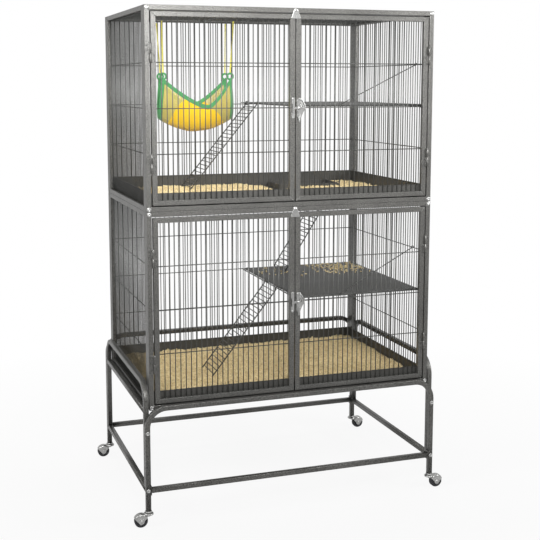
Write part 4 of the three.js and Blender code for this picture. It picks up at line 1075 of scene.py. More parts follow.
def build_lower_bar(end_name):
    node = f"stand_{end_name}_bar"
    low, high = node_box(node)
    middle = (low + high) / 2
    bm = bmesh.new()
    straight_tube(bm, (low.x, middle.y, middle.z), (high.x - low.x, 0, 0), (0, 1, 0), (0, 0, 1))
    for x, step in ((low.x, 1), (high.x, -1)):
        plate = sorted((x, x + step * 0.002))
        block(bm, (plate[0], low.y, low.z), (plate[1], high.y, high.z), 0, SOFT_EDGE)
    piece_from(bm, f"{end_name}_lower_tube", ["hammered_paint"], "cage", [node])


# Castors


def castor_matrix(end_name, side_name):
    leg_x, leg_y = leg_places()
    side = SIDES[side_name]
    turn = Matrix.Rotation(math.pi if side < 0 else 0.0, 4, "Z")
    return Matrix.Translation((side * leg_x, ENDS[end_name] * leg_y, 0)) @ turn


def half_space(bm, verts, point, outward):
    """Cuts away what lies beyond a plane."""
    geometry = list(verts) + edges_of(verts) + faces_of(verts)
    made = bmesh.ops.bisect_plane(
        bm, geom=geometry, dist=1e-6, plane_co=point, plane_no=outward, clear_outer=True, clear_inner=False
    )
    return [vert for vert in verts_in(made["geom"]) if vert.is_valid]


def castor_hood(bm, trail, wheel):
    """The domed hood: a spun shell trimmed along one cheek, round the hub and out to the peak."""
    outer, half = 0.0234, 0.012
    profile = [(0, -half), (0.006, -half), (0.0155, -half), (0.0195, -half + 0.0008),
               (0.0222, -half + 0.0026), (outer, -half + 0.0062), (outer, 0), (outer, half - 0.0062),
               (0.0222, half - 0.0026), (0.0195, half - 0.0008), (0.0155, half), (0.006, half), (0, half)]
    verts = lathe(bm, profile, (trail, 0, wheel), (0, 1, 0), 40)
    cuts = (((0.005, 0, 0.032), (-0.72, 0, -0.69)), ((0.03, 0, 0.0065), (0.05, 0, -1)),
            ((0.0312, 0, 0.0148), (0.76, 0, -0.65)))
    for point, outward in cuts:
        verts = half_space(bm, verts, point, outward)
    faces = faces_of(verts)
    bmesh.ops.solidify(bm, geom=faces, thickness=0.0013)
    smooth_all(bm)


def build_castor(end_name, side_name):
    place = f"{end_name}_{side_name}"
    trail, wheel = sizes().trail, sizes().wheel
    matrix = castor_matrix(end_name, side_name)
    leg_bottom = node_box("stand_front_arch")[0].z
    flange_top = node_box(f"castor_fork_{place}")[1].z
    flange_bottom = flange_top - 0.007

    bm = bmesh.new()
    top = leg_bottom - 0.0003
    lathe(bm, [(0, top), (0.0085, top), (0.011, top - 0.0005), (0.011, top - 0.0042), (0.0102, top - 0.005),
               (0.004, top - 0.005), (0.004, top - 0.011), (0, top - 0.011)], (0, 0, 0), (0, 0, 1), 32)
    move_mesh(bm, matrix)
    piece_from(bm, f"{place}_castor_cup", ["bright_zinc"], "cage", [f"castor_socket_{place}"])

    bm = bmesh.new()
    castor_hood(bm, trail, wheel)
    lathe(bm, [(0.0045, flange_bottom), (0.0135, flange_bottom), (0.0158, flange_bottom + 0.0012),
               (0.016, flange_bottom + 0.003), (0.0152, flange_top - 0.0015), (0.0125, flange_top),
               (0.0045, flange_top), (0.0045, flange_bottom)], (0, 0, 0), (0, 0, 1), 40)
    block(bm, (-0.005, -0.0078, flange_bottom - 0.0048), (0.0098, 0.0078, flange_bottom + 0.001), 0, 0.0022)
    for side in (-1, 1):
        hub = (trail, side * 0.0118, wheel)
        lathe(bm, [(0.0088, 0), (0.0088, 0.0008), (0.0076, 0.0013), (0.0068, 0.0006), (0.0046, 0.0006),
                   (0.0042, 0.0015), (0.0018, 0.0019), (0, 0.0019)], hub, (0, side, 0), 32)
    rod(bm, (trail, -0.0112, wheel), (trail, 0.0112, wheel), 0.0025, 16)
    move_mesh(bm, matrix)
    piece_from(bm, f"{place}_castor_hood", ["bright_zinc"], f"{place}_swivel",
               [f"castor_fork_{place}"])

    bm = bmesh.new()
    half = 0.0087
    tread = [(wheel - 0.0042, -half), (wheel - 0.0012, -half + 0.0008), (wheel - 0.0002, -half + 0.003),
             (wheel, -0.0012), (wheel - 0.0007, -0.0006), (wheel - 0.0007, 0.0006), (wheel, 0.0012),
             (wheel - 0.0002, half - 0.003), (wheel - 0.0012, half - 0.0008), (wheel - 0.0042, half)]
    lathe(bm, [(0.0029, -half + 0.001), (0.0062, -half), (0.0145, -half + 0.0012)] + tread
          + [(0.0145, half - 0.0012), (0.0062, half), (0.0029, half - 0.001), (0.0029, -half + 0.001)],
          (trail, 0, wheel), (0, 1, 0), 48)
    move_mesh(bm, matrix)
    piece_from(bm, f"{place}_castor_tyre", ["tyre_rubber"], f"{place}_wheel",
               [f"castor_wheel_{place}"])


# Shelves, ladders and trays


def between_wires(span, place):
    """The middle of the gap between two wires that is nearest to a place."""
    step = span / (wire_count(span) + 1)
    return -span / 2 + (round((place + span / 2) / step - 0.5) + 0.5) * step


def side_span():
    low, high = node_box("lower_left_panel")
    return high.y - low.y - 2 * sizes().corner_stile


def cross_wire_inset():
    """The middle of a cross wire, measured in from a panel's outer face."""
    return sizes().frame_bar / 2 + sizes().wire + 0.0003


def open_ring(bm, centre, first, axis, degrees, radius, wire, material=0):
    """A bent wire hook: part of a ring that starts in one direction and turns about an axis."""
    centre, first, axis = Vector(centre), Vector(first).normalized(), Vector(axis).normalized()
    section = round_section(bm, centre + first * radius, first, axis, wire, 8)
    Tube(bm, section, material).bend(centre, axis, math.radians(degrees), 14).close()


def direction(degrees, first, second):
    turn = math.radians(degrees)
    return Vector(first) * math.cos(turn) + Vector(second) * math.sin(turn)


def shelf_edges(storey):
    """The plate's left, right, front, rear, bottom and top."""
    high = cage_box()[1]
    rear = high.y - sizes().shelf_end_margin
    bottom = storey_base(storey) + sizes().cross_middle + sizes().wire / 2 + 0.0003
    right = high.x - sizes().shelf_margin
    return sizes().shelf_left, right, -rear, rear, bottom, bottom + sizes().shelf_skirt


def folded_plate(bm, low, high, sheet):
    """A sheet with its edges folded down all round."""
    low, high = Vector(low), Vector(high)
    made = cube_between(bm, low, high)
    bmesh.ops.recalc_face_normals(bm, faces=faces_of(made))
    under = [face for face in faces_of(made) if face.normal.z < -0.9]
    bmesh.ops.inset_region(bm, faces=under, thickness=sheet, use_even_offset=True)
    lifted = bmesh.ops.extrude_face_region(bm, geom=under)["geom"]
    verts = verts_in(lifted)
    bmesh.ops.translate(bm, vec=(0, 0, high.z - low.z - sheet), verts=verts)
    bmesh.ops.delete(bm, geom=under, context="FACES_ONLY")
    outer = [edge for edge in edges_of(made) if all(abs(vert.co.z - high.z) < 1e-6 for vert in edge.verts)]
    upright = [
        edge for edge in edges_of(made)
        if abs(edge.verts[0].co.z - edge.verts[1].co.z) > 0.9 * (high.z - low.z)
    ]
    bmesh.ops.bevel(
        bm, geom=outer + upright, offset=sheet * 0.9, segments=3, profile=0.5, affect="EDGES", material=-1
    )


def build_shelf(storey):
    left, right, front, rear, bottom, top = shelf_edges(storey)
    low, high = cage_box()
    bm = bmesh.new()
    folded_plate(bm, (left, front, bottom), (right, rear, top), SHEET)
    radius = sizes().shelf_wire / 2
    wire_x, wire_y, wire_z = left - sizes().guard_out, front - sizes().guard_out, top - radius
    bend = 0.009
    section = round_section(bm, (wire_x, rear, wire_z), (1, 0, 0), (0, 0, 1), radius, 12)
    guard = Tube(bm, section, 1)
    guard.straight((0, wire_y + bend - rear, 0))
    guard.bend((wire_x + bend, wire_y + bend, wire_z), (0, 0, 1), math.pi / 2, 8)
    guard.straight((right - wire_x - bend, 0, 0))
    guard.close()
    for tie in range(5):
        share = tie / 4
        y = front + 0.004 + share * (rear - front - 0.008)
        x = left + 0.004 + share * (right - left - 0.008)
        rod(bm, (wire_x, y, wire_z), (left + 0.0007, y, wire_z), 0.0013, 8, 1)
        rod(bm, (x, wire_y, wire_z), (x, front + 0.0007, wire_z), 0.0013, 8, 1)
    half, sheet, drop = 0.0025, 0.0015, 0.006
    over = sizes().wire / 2 + 0.0003
    for share in (0.05, 0.5, 0.95):
        x = between_wires(high.x - low.x - 2 * sizes().frame_bar, left + share * (right - left))
        tip = high.y - cross_wire_inset() + over
        block(bm, (x - half, rear - 0.001, bottom), (x + half, tip + sheet, bottom + sheet), 1, 0.0005)
        block(bm, (x - half, tip, bottom - drop), (x + half, tip + sheet, bottom + sheet), 1, 0.0005)
        y = between_wires(side_span(), front + share * (rear - front))
        tip = high.x - cross_wire_inset() + over
        block(bm, (right - 0.001, y - half, bottom), (tip + sheet, y + half, bottom + sheet), 1, 0.0005)
        block(bm, (tip, y - half, bottom - drop), (tip + sheet, y + half, bottom + sheet), 1, 0.0005)
    piece_from(bm, f"{storey}_shelf_plate", ["perforated_sheet", "wire_paint"], "cage",
               [f"{storey}_shelf"])


def build_brace(storey):
    """The stay from the shelf's guard wire up to the right panel, with a hook at each end."""
    left, _, front, _, _, top = shelf_edges(storey)
    high = cage_box()[1]
    wire = sizes().wire / 2
    foot = Vector((left + 0.14, front - sizes().guard_out, top - sizes().shelf_wire / 2))
    top_y = -side_span() / 2 + 3.5 * side_span() / (wire_count(side_span()) + 1)
    top_z = storey_base(storey) + sizes().cross_middle + sizes().cross_spacing
    head = Vector((high.x - cross_wire_inset(), top_y, top_z))
    bm = bmesh.new()
    open_ring(bm, foot, direction(-60, (0, 1, 0), (0, 0, 1)), (1, 0, 0), 250, 0.0045, wire)
    open_ring(bm, head, direction(0, (1, 0, 0), (0, 0, 1)), (0, -1, 0), 235, 0.0046, wire)
    rod(bm, foot + Vector((0, 0, 0.0043)), head + Vector((-0.0048, 0, -0.002)), wire, 12)
    piece_from(bm, f"{storey}_shelf_stay", ["wire_paint"], "cage", [f"{storey}_shelf_brace"])


def build_ladder(name, degrees):
    joint = next(item for item in frame["joints"] if item["child"] == name)
    pivot = Vector(joint["pos_m"])
    low, high = node_box(name)
    slope = math.radians(degrees)
    radius, rung = sizes().ladder_wire / 2, sizes().rung / 2
    run = (pivot.z - low.z - radius * math.cos(slope)) / math.sin(slope)
    reach = (high.y - low.y) / 2 - radius
    bm = bmesh.new()
    for side in (-1, 1):
        start = (-run, side * reach, 0)
        section = round_section(bm, start, (0, 1, 0), (0, 0, 1), radius, 12)
        Tube(bm, section).straight((run - 0.0051, 0, 0)).close()
        first = direction(-55, (1, 0, 0), (0, 0, 1))
        open_ring(bm, (0, side * reach, 0), first, (0, -1, 0), 235, 0.0048, radius)
    place = sizes().rung_pitch
    while place < run:
        rod(bm, (-place, -reach, 0), (-place, reach, 0), rung, 10)
        place += sizes().rung_pitch
    tilt = Matrix.Translation(pivot) @ Matrix.Rotation(-slope, 4, "Y")
    move_mesh(bm, tilt)
    piece_from(bm, f"{name}_steps", ["wire_paint"], name, [name])


def build_tray(storey):
    """A folded tray; the upper one has a hatch with a raised rim round it."""
    low, high = node_box(f"{storey}_tray")
    sheet, rim, rim_height = SHEET, 0.005, 0.003
    floor = low.z + sheet
    bm = bmesh.new()
    for thick, bottom, top, edge in (
        (sheet, low.z, high.z - 0.0005, SOFT_EDGE), (rim, high.z - rim_height, high.z, 0.0012)
    ):
        for x0, x1 in ((low.x, low.x + thick), (high.x - thick, high.x)):
            block(bm, (x0, low.y, bottom), (x1, high.y, top), 0, edge)
        for y0, y1 in ((low.y, low.y + thick), (high.y - thick, high.y)):
            block(bm, (low.x, y0, bottom), (high.x, y1, top), 0, edge)
    if storey == "lower":
        block(bm, (low.x, low.y, low.z), (high.x, high.y, floor))
    else:
        right, rear = high.x - sizes().hatch_side, high.y - sizes().hatch_rear
        left, front = right - sizes().hatch_width, rear - sizes().hatch_depth
        top = storey_base(storey) + sizes().hatch_rim
        block(bm, (low.x, low.y, low.z), (left, high.y, floor))
        block(bm, (right, low.y, low.z), (high.x, high.y, floor))
        block(bm, (left, low.y, low.z), (right, front, floor))
        block(bm, (left, rear, low.z), (right, high.y, floor))
        block(bm, (left - sheet, front - sheet, low.z), (left, rear + sheet, top), 0, SOFT_EDGE)
        block(bm, (right, front - sheet, low.z), (right + sheet, rear + sheet, top), 0, SOFT_EDGE)
        block(bm, (left, front - sheet, low.z), (right, front, top), 0, SOFT_EDGE)
        block(bm, (left, rear, low.z), (right, rear + sheet, top), 0, SOFT_EDGE)
    rims = [node for node in frame["nodes"] if node.startswith("hatch_rim") and storey == "upper"]
    piece_from(bm, f"{storey}_tray_pan", ["tray_paint"], "cage", [f"{storey}_tray", *rims])


# Bedding


def bed_bump(x, y):
    """The rise and fall of a bed: the frame's own long waves, with heaps and hollows."""
    x, y = x * 1000, y * 1000
    waves = math.sin(x * 0.021 + 1.3) * math.cos(y * 0.027) + 0.6 * math.sin(x * 0.047 - y * 0.039)
    heaps = noise.noise(Vector((x * 0.034, y * 0.034, 4.7)))
    crumbs = noise.noise(Vector((x * 0.1, y * 0.1, 1.9)))
    return 0.0024 * waves + 0.0034 * heaps + 0.0052 * crumbs


def pellet(bm, matrix, sides, radius, end_radius, depth):
    bmesh.ops.create_cone(
        bm, cap_ends=True, segments=sides, radius1=radius, radius2=end_radius, depth=depth, matrix=matrix
    )


def pellet_tile(count, side, seed):
    """A square patch of loose pellets lying at all angles."""
    dice = random.Random(seed)
    bm = bmesh.new()
    radius = sizes().pellet / 2
    for _ in range(count):
        x, y = dice.uniform(-side, side) / 2, dice.uniform(-side, side) / 2
        place = Vector((x, y, dice.uniform(-PELLET_SINK, PELLET_SINK)))
        lie = Matrix.Rotation(dice.uniform(0, 2 * math.pi), 4, "Z") @ Matrix.Rotation(
            math.radians(dice.uniform(55, 95)), 4, "X"
        )
        size = radius * dice.uniform(0.75, 1.1)
        end_size = size * dice.uniform(0.7, 1.0)
        pellet(bm, Matrix.Translation(place) @ lie, 5, size, end_size, dice.uniform(0.0055, 0.0105))
    mesh = bpy.data.meshes.new("pellet_tile")
    bm.to_mesh(mesh)
    bm.free()
    return mesh


def scatter_pellets(bm, low, high, height, keep, density, seed):
    """Lays turned copies of a patch of pellets over a bed, each pellet at the bed's height."""
    side = 0.05
    tile = pellet_tile(round(density * side * side), side, seed)
    dice = random.Random(seed + 1)
    columns = math.ceil((high.x - low.x) / side)
    rows = math.ceil((high.y - low.y) / side)
    for column in range(columns):
        for row in range(rows):
            first = len(bm.verts)
            bm.from_mesh(tile)
            bm.verts.ensure_lookup_table()
            fresh = bm.verts[first:]
            middle = Vector((low.x + (column + 0.5) * side, low.y + (row + 0.5) * side, 0))
            turn = Matrix.Rotation(dice.randrange(4) * math.pi / 2, 4, "Z")
            lay = Matrix.Translation(middle) @ turn
            for vert in fresh:
                vert.co = lay @ vert.co
    bpy.data.meshes.remove(tile)
    margin = 0.004
    lost = []
    for island in islands(bm):
        middle = sum((vert.co for vert in island), Vector()) / len(island)
        inside = all(
            low[axis] + margin < vert.co[axis] < high[axis] - margin for vert in island for axis in (0, 1)
        )
        if inside and keep(middle.x, middle.y):
            rise = height(middle.x, middle.y)
            for vert in island:
                vert.co.z += rise
        else:
            lost.extend(island)
    bmesh.ops.delete(bm, geom=lost, context="VERTS")


def islands(bm):
    """The groups of joined vertices."""
    seen = set()
    found = []
    for vert in bm.verts:
        if vert not in seen:
            island = grown([vert])
            seen.update(island)
            found.append(island)
    return found


def bed_surface(bm, low, high, height, keep):
    """The closed mass of the bed under its loose pellets."""
    columns, rows = round((high.x - low.x) / BED_CELL), round((high.y - low.y) / BED_CELL)
    made = bmesh.ops.create_grid(bm, x_segments=columns, y_segments=rows, size=0.5)["verts"]
    centre = (low + high) / 2
    bmesh.ops.scale(bm, vec=(high.x - low.x, high.y - low.y, 1), verts=made)
    bmesh.ops.translate(bm, vec=(centre.x, centre.y, 0), verts=made)
    out = [face for face in faces_of(made) if not keep(*face.calc_center_median().xy)]
    bmesh.ops.delete(bm, geom=out, context="FACES")
    top = [vert for vert in made if vert.is_valid]
    for vert in top:
        vert.co.z = height(vert.co.x, vert.co.y) - PELLET_SINK
    faces = faces_of(top)
    lowered = bmesh.ops.extrude_face_region(bm, geom=faces)["geom"]
    for item in lowered:
        if isinstance(item, bmesh.types.BMVert):
            item.co.z = low.z
    bmesh.ops.recalc_face_normals(bm, faces=list(bm.faces))
    smooth_all(bm)


def build_bed(node, name, height, keep, seed):
    low, high = node_box(node)
    bm = bmesh.new()
    scatter_pellets(bm, low, high, height, keep, sizes().pellets_per_area, seed)
    bed = bmesh.new()
    bed_surface(bed, low, high, height, keep)
    mesh = bpy.data.meshes.new("bed")
    bed.to_mesh(mesh)
    bed.free()
    bm.from_mesh(mesh)
    bpy.data.meshes.remove(mesh)
    piece_from(bm, name, ["pellet_wood"], "cage", [node])


def smoothstep(value, low, high):
    share = min(1.0, max(0.0, (value - low) / (high - low)))
    return share * share * (3 - 2 * share)


def everywhere(x, y):
    return True


def build_lower_bed():
    foot = node_box("lower_bedding")[0].z

    def level(x, y):
        return foot + 0.0178 + bed_bump(x, y)

    build_bed("lower_bedding", "lower_pellet_bed", level, everywhere, 11)


def build_upper_beds():
    left_low, left_high = node_box("upper_bedding_left")
    right_low = node_box("upper_bedding_right")[0]
    tray_high = node_box("upper_tray")[1]
    clear = 0.0035
    right, rear = tray_high.x - sizes().hatch_side + clear, tray_high.y - sizes().hatch_rear + clear
    left = right - sizes().hatch_width - 2 * clear
    front = rear - sizes().hatch_depth - 2 * clear
    foot = left_low.z

    def faded(x, y, fade):
        return foot + 0.0014 + fade * (0.0085 + 0.7 * bed_bump(x, y))

    def left_height(x, y):
        return faded(x, y, smoothstep(left_high.x - x, 0, 0.12))

    def right_height(x, y):
        return faded(x, y, smoothstep(x - right_low.x, 0, 0.06))

    def off_hatch(x, y):
        return not (left < x < right and front < y < rear)

    build_bed("upper_bedding_left", "upper_left_pellet_bed", left_height, everywhere, 23)
    build_bed("upper_bedding_right", "upper_right_pellet_bed", right_height, off_hatch, 37)


def build_spilt_pellets():
    """The few pellets that lie spilt on the lower shelf."""
    left, right, _, rear, _, top = shelf_edges("lower")
    dice = random.Random(5)
    radius = sizes().pellet / 2
    bm = bmesh.new()
    heap_x = left + 0.78 * (right - left)
    for number in range(260):
        if number % 4:
            x, y = dice.gauss(heap_x, 0.05), dice.gauss(rear - 0.1, 0.05)
        else:
            x, y = dice.uniform(left, right), dice.uniform(rear - 0.22, rear)
        x = min(right - 0.02, max(left + 0.02, x))
        y = min(rear - 0.02, y)
        lie = Matrix.Rotation(dice.uniform(0, 2 * math.pi), 4, "Z") @ Matrix.Rotation(math.pi / 2, 4, "X")
        size = radius * dice.uniform(0.65, 0.95)
        place = Matrix.Translation((x, y, top + size * 0.86))
        pellet(bm, place @ lie, 6, size, size, dice.uniform(0.004, 0.009))
    piece_from(bm, "spilt_pellets", ["pellet_wood"], "cage")


# Hammock


def hammock_place():
    base = storey_base("upper")
    low = cage_box()[0]
    place = Matrix.Translation((low.x + sizes().hammock_from_side, 0, base))
    return place @ Matrix.Rotation(math.radians(HAMMOCK_TURN), 4, "Z")


def hammock_point(u, v):
    """A point of the hanging cloth; u runs between its open ends and v across the trough."""
    corner = sizes().cross_middle + 0.093
    dip = 0.12 - 0.2 * v
    share = (u - dip) / (1 - dip) if u > dip else (dip - u) / (1 + dip)
    top = corner - 0.09 + 0.09 * share ** 1.45
    bottom = corner - 0.174 + 0.041 * u * u
    climb = (1 - math.cos(abs(v) * math.pi / 2)) ** 1.15
    depth = 0.062 * (1.15 - 0.15 * u * u) * math.sin(v * math.pi / 2)
    return Vector((u * (0.121 - 0.009 * climb * climb), depth, bottom + (top - bottom) * climb))


def cloth_wrinkle(u, v):
    """Soft pulls that run from the corners, small enough to stay inside the frame's cloth."""
    pull = math.sin(9 * u + 3 * v) * math.cos(4 * v - 2 * u)
    return 0.0009 * pull * (1 - u * u) * (1 - v * v) + 0.0005 * noise.noise(Vector((u * 5, v * 5, 0)))


def hammock_normal(u, v):
    step = 0.01
    along = hammock_point(u + step, v) - hammock_point(u - step, v)
    across = hammock_point(u, v + step) - hammock_point(u, v - step)
    return along.cross(across).normalized()


def build_cloth():
    bm = bmesh.new()
    made = bmesh.ops.create_grid(bm, x_segments=56, y_segments=64, size=1.0)["verts"]
    layer = bm.loops.layers.uv.new("UVMap")
    for face in bm.faces:
        for loop in face.loops:
            loop[layer].uv = (loop.vert.co.x * 0.5, loop.vert.co.y * 0.95)
    for vert in made:
        u, v = vert.co.x, vert.co.y
        vert.co = hammock_point(u, v) + hammock_normal(u, v) * cloth_wrinkle(u, v)
    bmesh.ops.recalc_face_normals(bm, faces=list(bm.faces))
    bmesh.ops.solidify(bm, geom=list(bm.faces), thickness=0.0014)
    smooth_all(bm)
    move_mesh(bm, hammock_place())
    return piece_from(bm, "hammock_cloth", ["hammock_cloth"], "cage", ["hammock"])


def flat_section(bm, centre, wide, thin, width, thickness):
    """A ribbon's section with rounded edges."""
    edge = thickness * 0.45
    points = [(-width / 2, -edge), (-width / 2 + edge, -thickness / 2), (width / 2 - edge, -thickness / 2),
              (width / 2, -edge), (width / 2, edge), (width / 2 - edge, thickness / 2),
              (-width / 2 + edge, thickness / 2), (-width / 2, edge)]
    return [bm.verts.new(centre + wide * x + thin * y) for x, y in points]


def sweep(bm, rings, material=0):
    """Bridges rings of vertices into a closed strip."""
    loops = [[bm.edges.new(pair) for pair in zip(ring, ring[1:] + ring[:1])] for ring in rings]
    for first, second in zip(loops, loops[1:]):
        bmesh.ops.bridge_loops(bm, edges=first + second)
    for loop in (loops[0], loops[-1]):
        bmesh.ops.edgeloop_fill(bm, edges=loop)
    verts = [vert for ring in rings for vert in ring]
    faces = faces_of(verts)
    bmesh.ops.recalc_face_normals(bm, faces=faces)
    for face in faces:
        face.material_index = material
        face.smooth = len(face.verts) == 4


def tape_uv(bm):
    """Lays the tape's threads along the piece's own width and height."""
    layer = bm.loops.layers.uv.new("UVMap")
    for face in bm.faces:
        for loop in face.loops:
            place = loop.vert.co
            loop[layer].uv = (place.x + place.y, place.z)


def loop_centre(u, v):
    """The middle of the tape loop that stands on a corner of the cloth."""
    return hammock_point(u, v) + Vector((-0.003 * u, 0, 0.0045))


def build_binding():
    bm = bmesh.new()
    width, thickness, steps = 0.0145, 0.0034, 36
    inward = width * 0.36
    for fixed, edge in (("v", -1), ("v", 1), ("u", -1), ("u", 1)):
        rings = []
        for step in range(steps + 1):
            run = -1 + 2 * step / steps
            u, v = (run, edge) if fixed == "v" else (edge, run)
            back = 0.04
            inner = hammock_point(u, v * (1 - back)) if fixed == "v" else hammock_point(u * (1 - back), v)
            point = hammock_point(u, v)
            wide = (inner - point).normalized()
            thin = hammock_normal(u, v)
            rings.append(flat_section(bm, point + wide * inward, wide, thin, width, thickness))
        sweep(bm, rings)
    for u in (-1, 1):
        for v in (-1, 1):
            centre = loop_centre(u, v)
            loop_section = [
                bm.verts.new(centre + Vector((0, x, LOOP_RADIUS + z)))
                for x, z in ((-0.0017, 0.0031), (-0.0017, -0.0031), (0.0017, -0.0031), (0.0017, 0.0031))
            ]
            Tube(bm, loop_section).bend(centre, (0, 1, 0), math.radians(359), 26).close()
    tape_uv(bm)
    move_mesh(bm, hammock_place())
    return piece_from(bm, "hammock_binding", ["green_binding"], "cage")


def build_strap(end_name, side_name):
    """A ribbon from a corner of the hammock to a wire hook on the nearest roof wire."""
    u, v = SIDES[side_name], ENDS[end_name]
    foot = hammock_place() @ (loop_centre(u, v) + Vector((0, 0, LOOP_RADIUS - 0.0015)))
    span = side_span() + 2 * (sizes().corner_stile - sizes().frame_bar)
    step = span / (wire_count(span) + 1)
    wire_y = round((foot.y + v * 0.014 + span / 2) / step) * step - span / 2
    wire_z = node_box("roof_panel")[1].z - sizes().frame_bar / 2
    top = Vector((foot.x + u * 0.007, wire_y, node_box("roof_panel")[1].z - 0.0307))
    bm = bmesh.new()
    along = top - foot
    wide = Vector((1, 0.25 * v, 0))
    wide = (wide - wide.project(along)).normalized()
    rings = []
    steps = 26
    for number in range(steps + 1):
        share = number / steps
        turn = Matrix.Rotation(0.5 * math.sin(share * math.pi), 3, along)
        across = turn @ wide
        thin = along.cross(across).normalized()
        thickness = 0.0019 if share < 0.09 or share > 0.93 else 0.0011
        rings.append(flat_section(bm, foot + along * share, across, thin, 0.0048, thickness))
    sweep(bm, rings)
    ring = 0.0038
    centre = Vector((top.x, wire_y, wire_z))
    open_ring(bm, centre, direction(-50, (0, 1, 0), (0, 0, 1)), (1, 0, 0), 285, ring, 0.001, 1)
    rod(bm, centre + direction(235, (0, 1, 0), (0, 0, 1)) * ring, top + Vector((0, 0, -0.002)), 0.001, 8, 1)
    tape_uv(bm)
    piece_from(bm, f"{end_name}_{side_name}_ribbon", ["strap_ribbon", "wire_paint"], "cage",
               [f"hammock_strap_{end_name}_{side_name}"])


# Operators


class CAGE_OT_wire_panels(bpy.types.Operator):
    """Build the rear, side and roof panels of welded wire"""

    bl_idname = "cage.wire_panels"
    bl_label = "Wire Panels"

    def execute(self, context):
        for storey in STOREYS:
            build_rear_panel(storey)
            for side_name in SIDES:
                build_side_panel(storey, side_name)
        build_roof()
        return {"FINISHED"}


class CAGE_OT_doors(bpy.types.Operator):
    """Build the door frames and the hinged wire doors"""

    bl_idname = "cage.doors"
    bl_label = "Doors"

    def execute(self, context):
        for storey in STOREYS:
            build_front_frame(storey)
            for side_name in SIDES:
                build_door(storey, side_name)
        return {"FINISHED"}


class CAGE_OT_fittings(bpy.types.Operator):
    """Build the latches, turn buttons and bolts"""

    bl_idname = "cage.fittings"
    bl_label = "Latches and Bolts"

    def execute(self, context):
        for storey in STOREYS:
            build_strike(storey)
            build_latch_plate(storey)
            build_latch_lever(storey)
            build_turn_button(storey)
        build_bolts()
        return {"FINISHED"}


class CAGE_OT_stand(bpy.types.Operator):
    """Build the stand of bent square tube"""

    bl_idname = "cage.stand"
    bl_label = "Stand"

    def execute(self, context):
        for end_name in ENDS:
            build_arch(end_name)
            build_lower_bar(end_name)
        for side_name in SIDES:
            build_side_frame(side_name)
        return {"FINISHED"}


class CAGE_OT_castors(bpy.types.Operator):
    """Build the four hooded castors"""

    bl_idname = "cage.castors"
    bl_label = "Castors"

    def execute(self, context):
        for end_name in ENDS:
            for side_name in SIDES:
                build_castor(end_name, side_name)
        return {"FINISHED"}


class CAGE_OT_trays(bpy.types.Operator):
    """Build the folded metal trays"""

    bl_idname = "cage.trays"
    bl_label = "Trays"

    def execute(self, context):
        for storey in STOREYS:
            build_tray(storey)
        return {"FINISHED"}


class CAGE_OT_bedding(bpy.types.Operator):
    """Fill the trays with wood pellets"""

    bl_idname = "cage.bedding"
    bl_label = "Bedding"

    def execute(self, context):
        build_lower_bed()
        build_upper_beds()
        build_spilt_pellets()
        return {"FINISHED"}


class CAGE_OT_shelves(bpy.types.Operator):
    """Build the shelves and their stays"""

    bl_idname = "cage.shelves"
    bl_label = "Shelves"

    def execute(self, context):
        for storey in STOREYS:
            build_shelf(storey)
            build_brace(storey)
        return {"FINISHED"}


class CAGE_OT_ladders(bpy.types.Operator):
    """Build the hooked wire ladders"""

    bl_idname = "cage.ladders"
    bl_label = "Ladders"

    def execute(self, context):
        for name, degrees in LADDERS.items():
            build_ladder(name, degrees)
        return {"FINISHED"}


class CAGE_OT_hammock(bpy.types.Operator):
    """Build the hammock of cloth with its binding and straps"""

    bl_idname = "cage.hammock"
    bl_label = "Hammock"

    def execute(self, context):
        cloth = build_cloth()
        binding = build_binding()
        for end_name in ENDS:
            for side_name in SIDES:
                build_strap(end_name, side_name)
        return {"FINISHED"}


class CAGE_OT_stage(bpy.types.Operator):
    """Set up the floor, the soft light and the camera"""

    bl_idname = "cage.stage"
    bl_label = "Stage"

    def execute(self, context):
        build_floor()
        build_lights()
        build_world()
        build_camera()
        return {"FINISHED"}


# Stage


def backdrop_factor(tree):
    """1 for rays that see the background directly or through glass, less for reflections."""
    path = tree.nodes.new("ShaderNodeLightPath")
    mirrored = math_node(tree, "MULTIPLY", path.outputs["Is Glossy Ray"], 0.5)
    seen = math_node(tree, "MAXIMUM", path.outputs["Is Camera Ray"], mirrored)
    return math_node(tree, "MAXIMUM", seen, path.outputs["Is Transmission Ray"])


def build_floor():
    bm = bmesh.new()
    bmesh.ops.create_grid(bm, x_segments=1, y_segments=1, size=30.0)
    mesh = bpy.data.meshes.new("floor")
    bm.to_mesh(mesh)
    bm.free()
    material, tree, shader = new_material("pale_floor")
    shader.inputs["Base Color"].default_value = (*colours().floor, 1.0)
    shader.inputs["Roughness"].default_value = 0.9
    glow = tree.nodes.new("ShaderNodeEmission")
    blend = tree.nodes.new("ShaderNodeMixShader")
    place = tree.nodes.new("ShaderNodeTexCoord")
    away = tree.nodes.new("ShaderNodeVectorMath")
    away.operation = "LENGTH"
    tree.links.new(place.outputs["Object"], away.inputs[0])
    fade = tree.nodes.new("ShaderNodeMapRange")
    set_inputs(fade, From_Min=0.6, From_Max=2.0, To_Min=0.9, To_Max=1.0)
    tree.links.new(away.outputs["Value"], fade.inputs["Value"])
    share = math_node(tree, "MULTIPLY", backdrop_factor(tree), fade.outputs["Result"])
    tree.links.new(share, blend.inputs["Fac"])
    tree.links.new(shader.outputs["BSDF"], blend.inputs[1])
    tree.links.new(glow.outputs["Emission"], blend.inputs[2])
    tree.links.new(blend.outputs["Shader"], tree.nodes["Material Output"].inputs["Surface"])
    mesh.materials.append(material)
    floor = bpy.data.objects.new("floor", mesh)
    bpy.context.scene.collection.objects.link(floor)


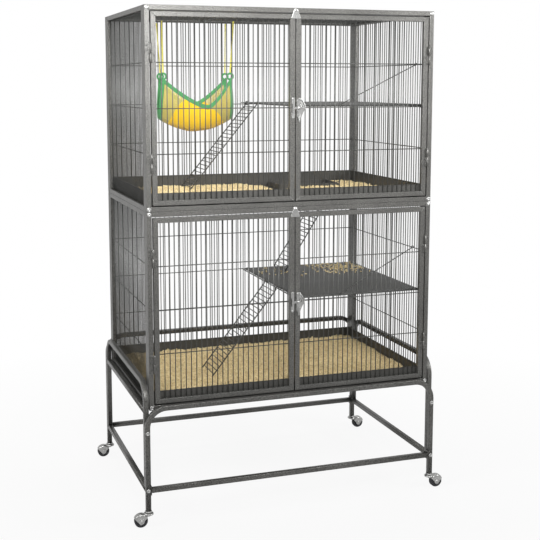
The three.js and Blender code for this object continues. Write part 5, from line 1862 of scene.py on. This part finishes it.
def add_lamp(name, place, target, size, energy, spread):
    data = bpy.data.lights.new(name, "AREA")
    data.shape = "DISK"
    data.size = size
    data.energy = energy
    data.spread = math.radians(spread)
    lamp = bpy.data.objects.new(name, data)
    lamp.location = place
    lamp.rotation_euler = (Vector(target) - Vector(place)).to_track_quat("-Z", "Y").to_euler()
    bpy.context.scene.collection.objects.link(lamp)


def build_lights():
    for name, values in LAMPS.items():
        add_lamp(name, *values)


def build_world():
    world = bpy.data.worlds.new("studio")
    bpy.context.scene.world = world
    world.use_nodes = True
    tree = world.node_tree
    background = tree.nodes["Background"]
    tree.links.new(mix_range(tree, backdrop_factor(tree), 0.3, 1.0), background.inputs["Strength"])
    background.inputs["Color"].default_value = (1.0, 1.0, 1.0, 1.0)


def build_camera():
    data = bpy.data.cameras.new("photo_camera")
    data.lens = CAMERA_LENS
    data.sensor_width = 36.0
    data.shift_x, data.shift_y = CAMERA_SHIFT
    camera = bpy.data.objects.new("photo_camera", data)
    camera.location = CAMERA_PLACE
    camera.rotation_euler = (math.radians(90 - CAMERA_DOWN), 0.0, math.radians(-CAMERA_RIGHT))
    bpy.context.scene.collection.objects.link(camera)
    bpy.context.scene.camera = camera
    bpy.context.scene.view_settings.view_transform = "Standard"


class CAGE_PT_panel(bpy.types.Panel):
    """The cage's pieces and sizes"""

    bl_label = "Ferret Cage"
    bl_idname = "CAGE_PT_panel"
    bl_space_type = "VIEW_3D"
    bl_region_type = "UI"
    bl_category = "Cage"

    def draw(self, context):
        for operator in OPERATORS:
            self.layout.operator(operator.bl_idname)
        for group in (context.scene.cage_sizes, context.scene.cage_colours):
            column = self.layout.column(align=True)
            for name in group.__annotations__:
                column.prop(group, name)


OPERATORS = (
    CAGE_OT_wire_panels,
    CAGE_OT_doors,
    CAGE_OT_fittings,
    CAGE_OT_stand,
    CAGE_OT_castors,
    CAGE_OT_trays,
    CAGE_OT_bedding,
    CAGE_OT_shelves,
    CAGE_OT_ladders,
    CAGE_OT_hammock,
    CAGE_OT_stage,
)
CLASSES = (CageSizes, CageColours, *OPERATORS, CAGE_PT_panel)


def register():
    for item in CLASSES:
        bpy.utils.register_class(item)
    bpy.types.Scene.cage_sizes = PointerProperty(type=CageSizes)
    bpy.types.Scene.cage_colours = PointerProperty(type=CageColours)


def unregister():
    del bpy.types.Scene.cage_colours
    del bpy.types.Scene.cage_sizes
    for item in reversed(CLASSES):
        bpy.utils.unregister_class(item)


def main():
    register()
    for operator in OPERATORS:
        area, name = operator.bl_idname.split(".")
        getattr(getattr(bpy.ops, area), name)()


if __name__ == "__main__":
    main()
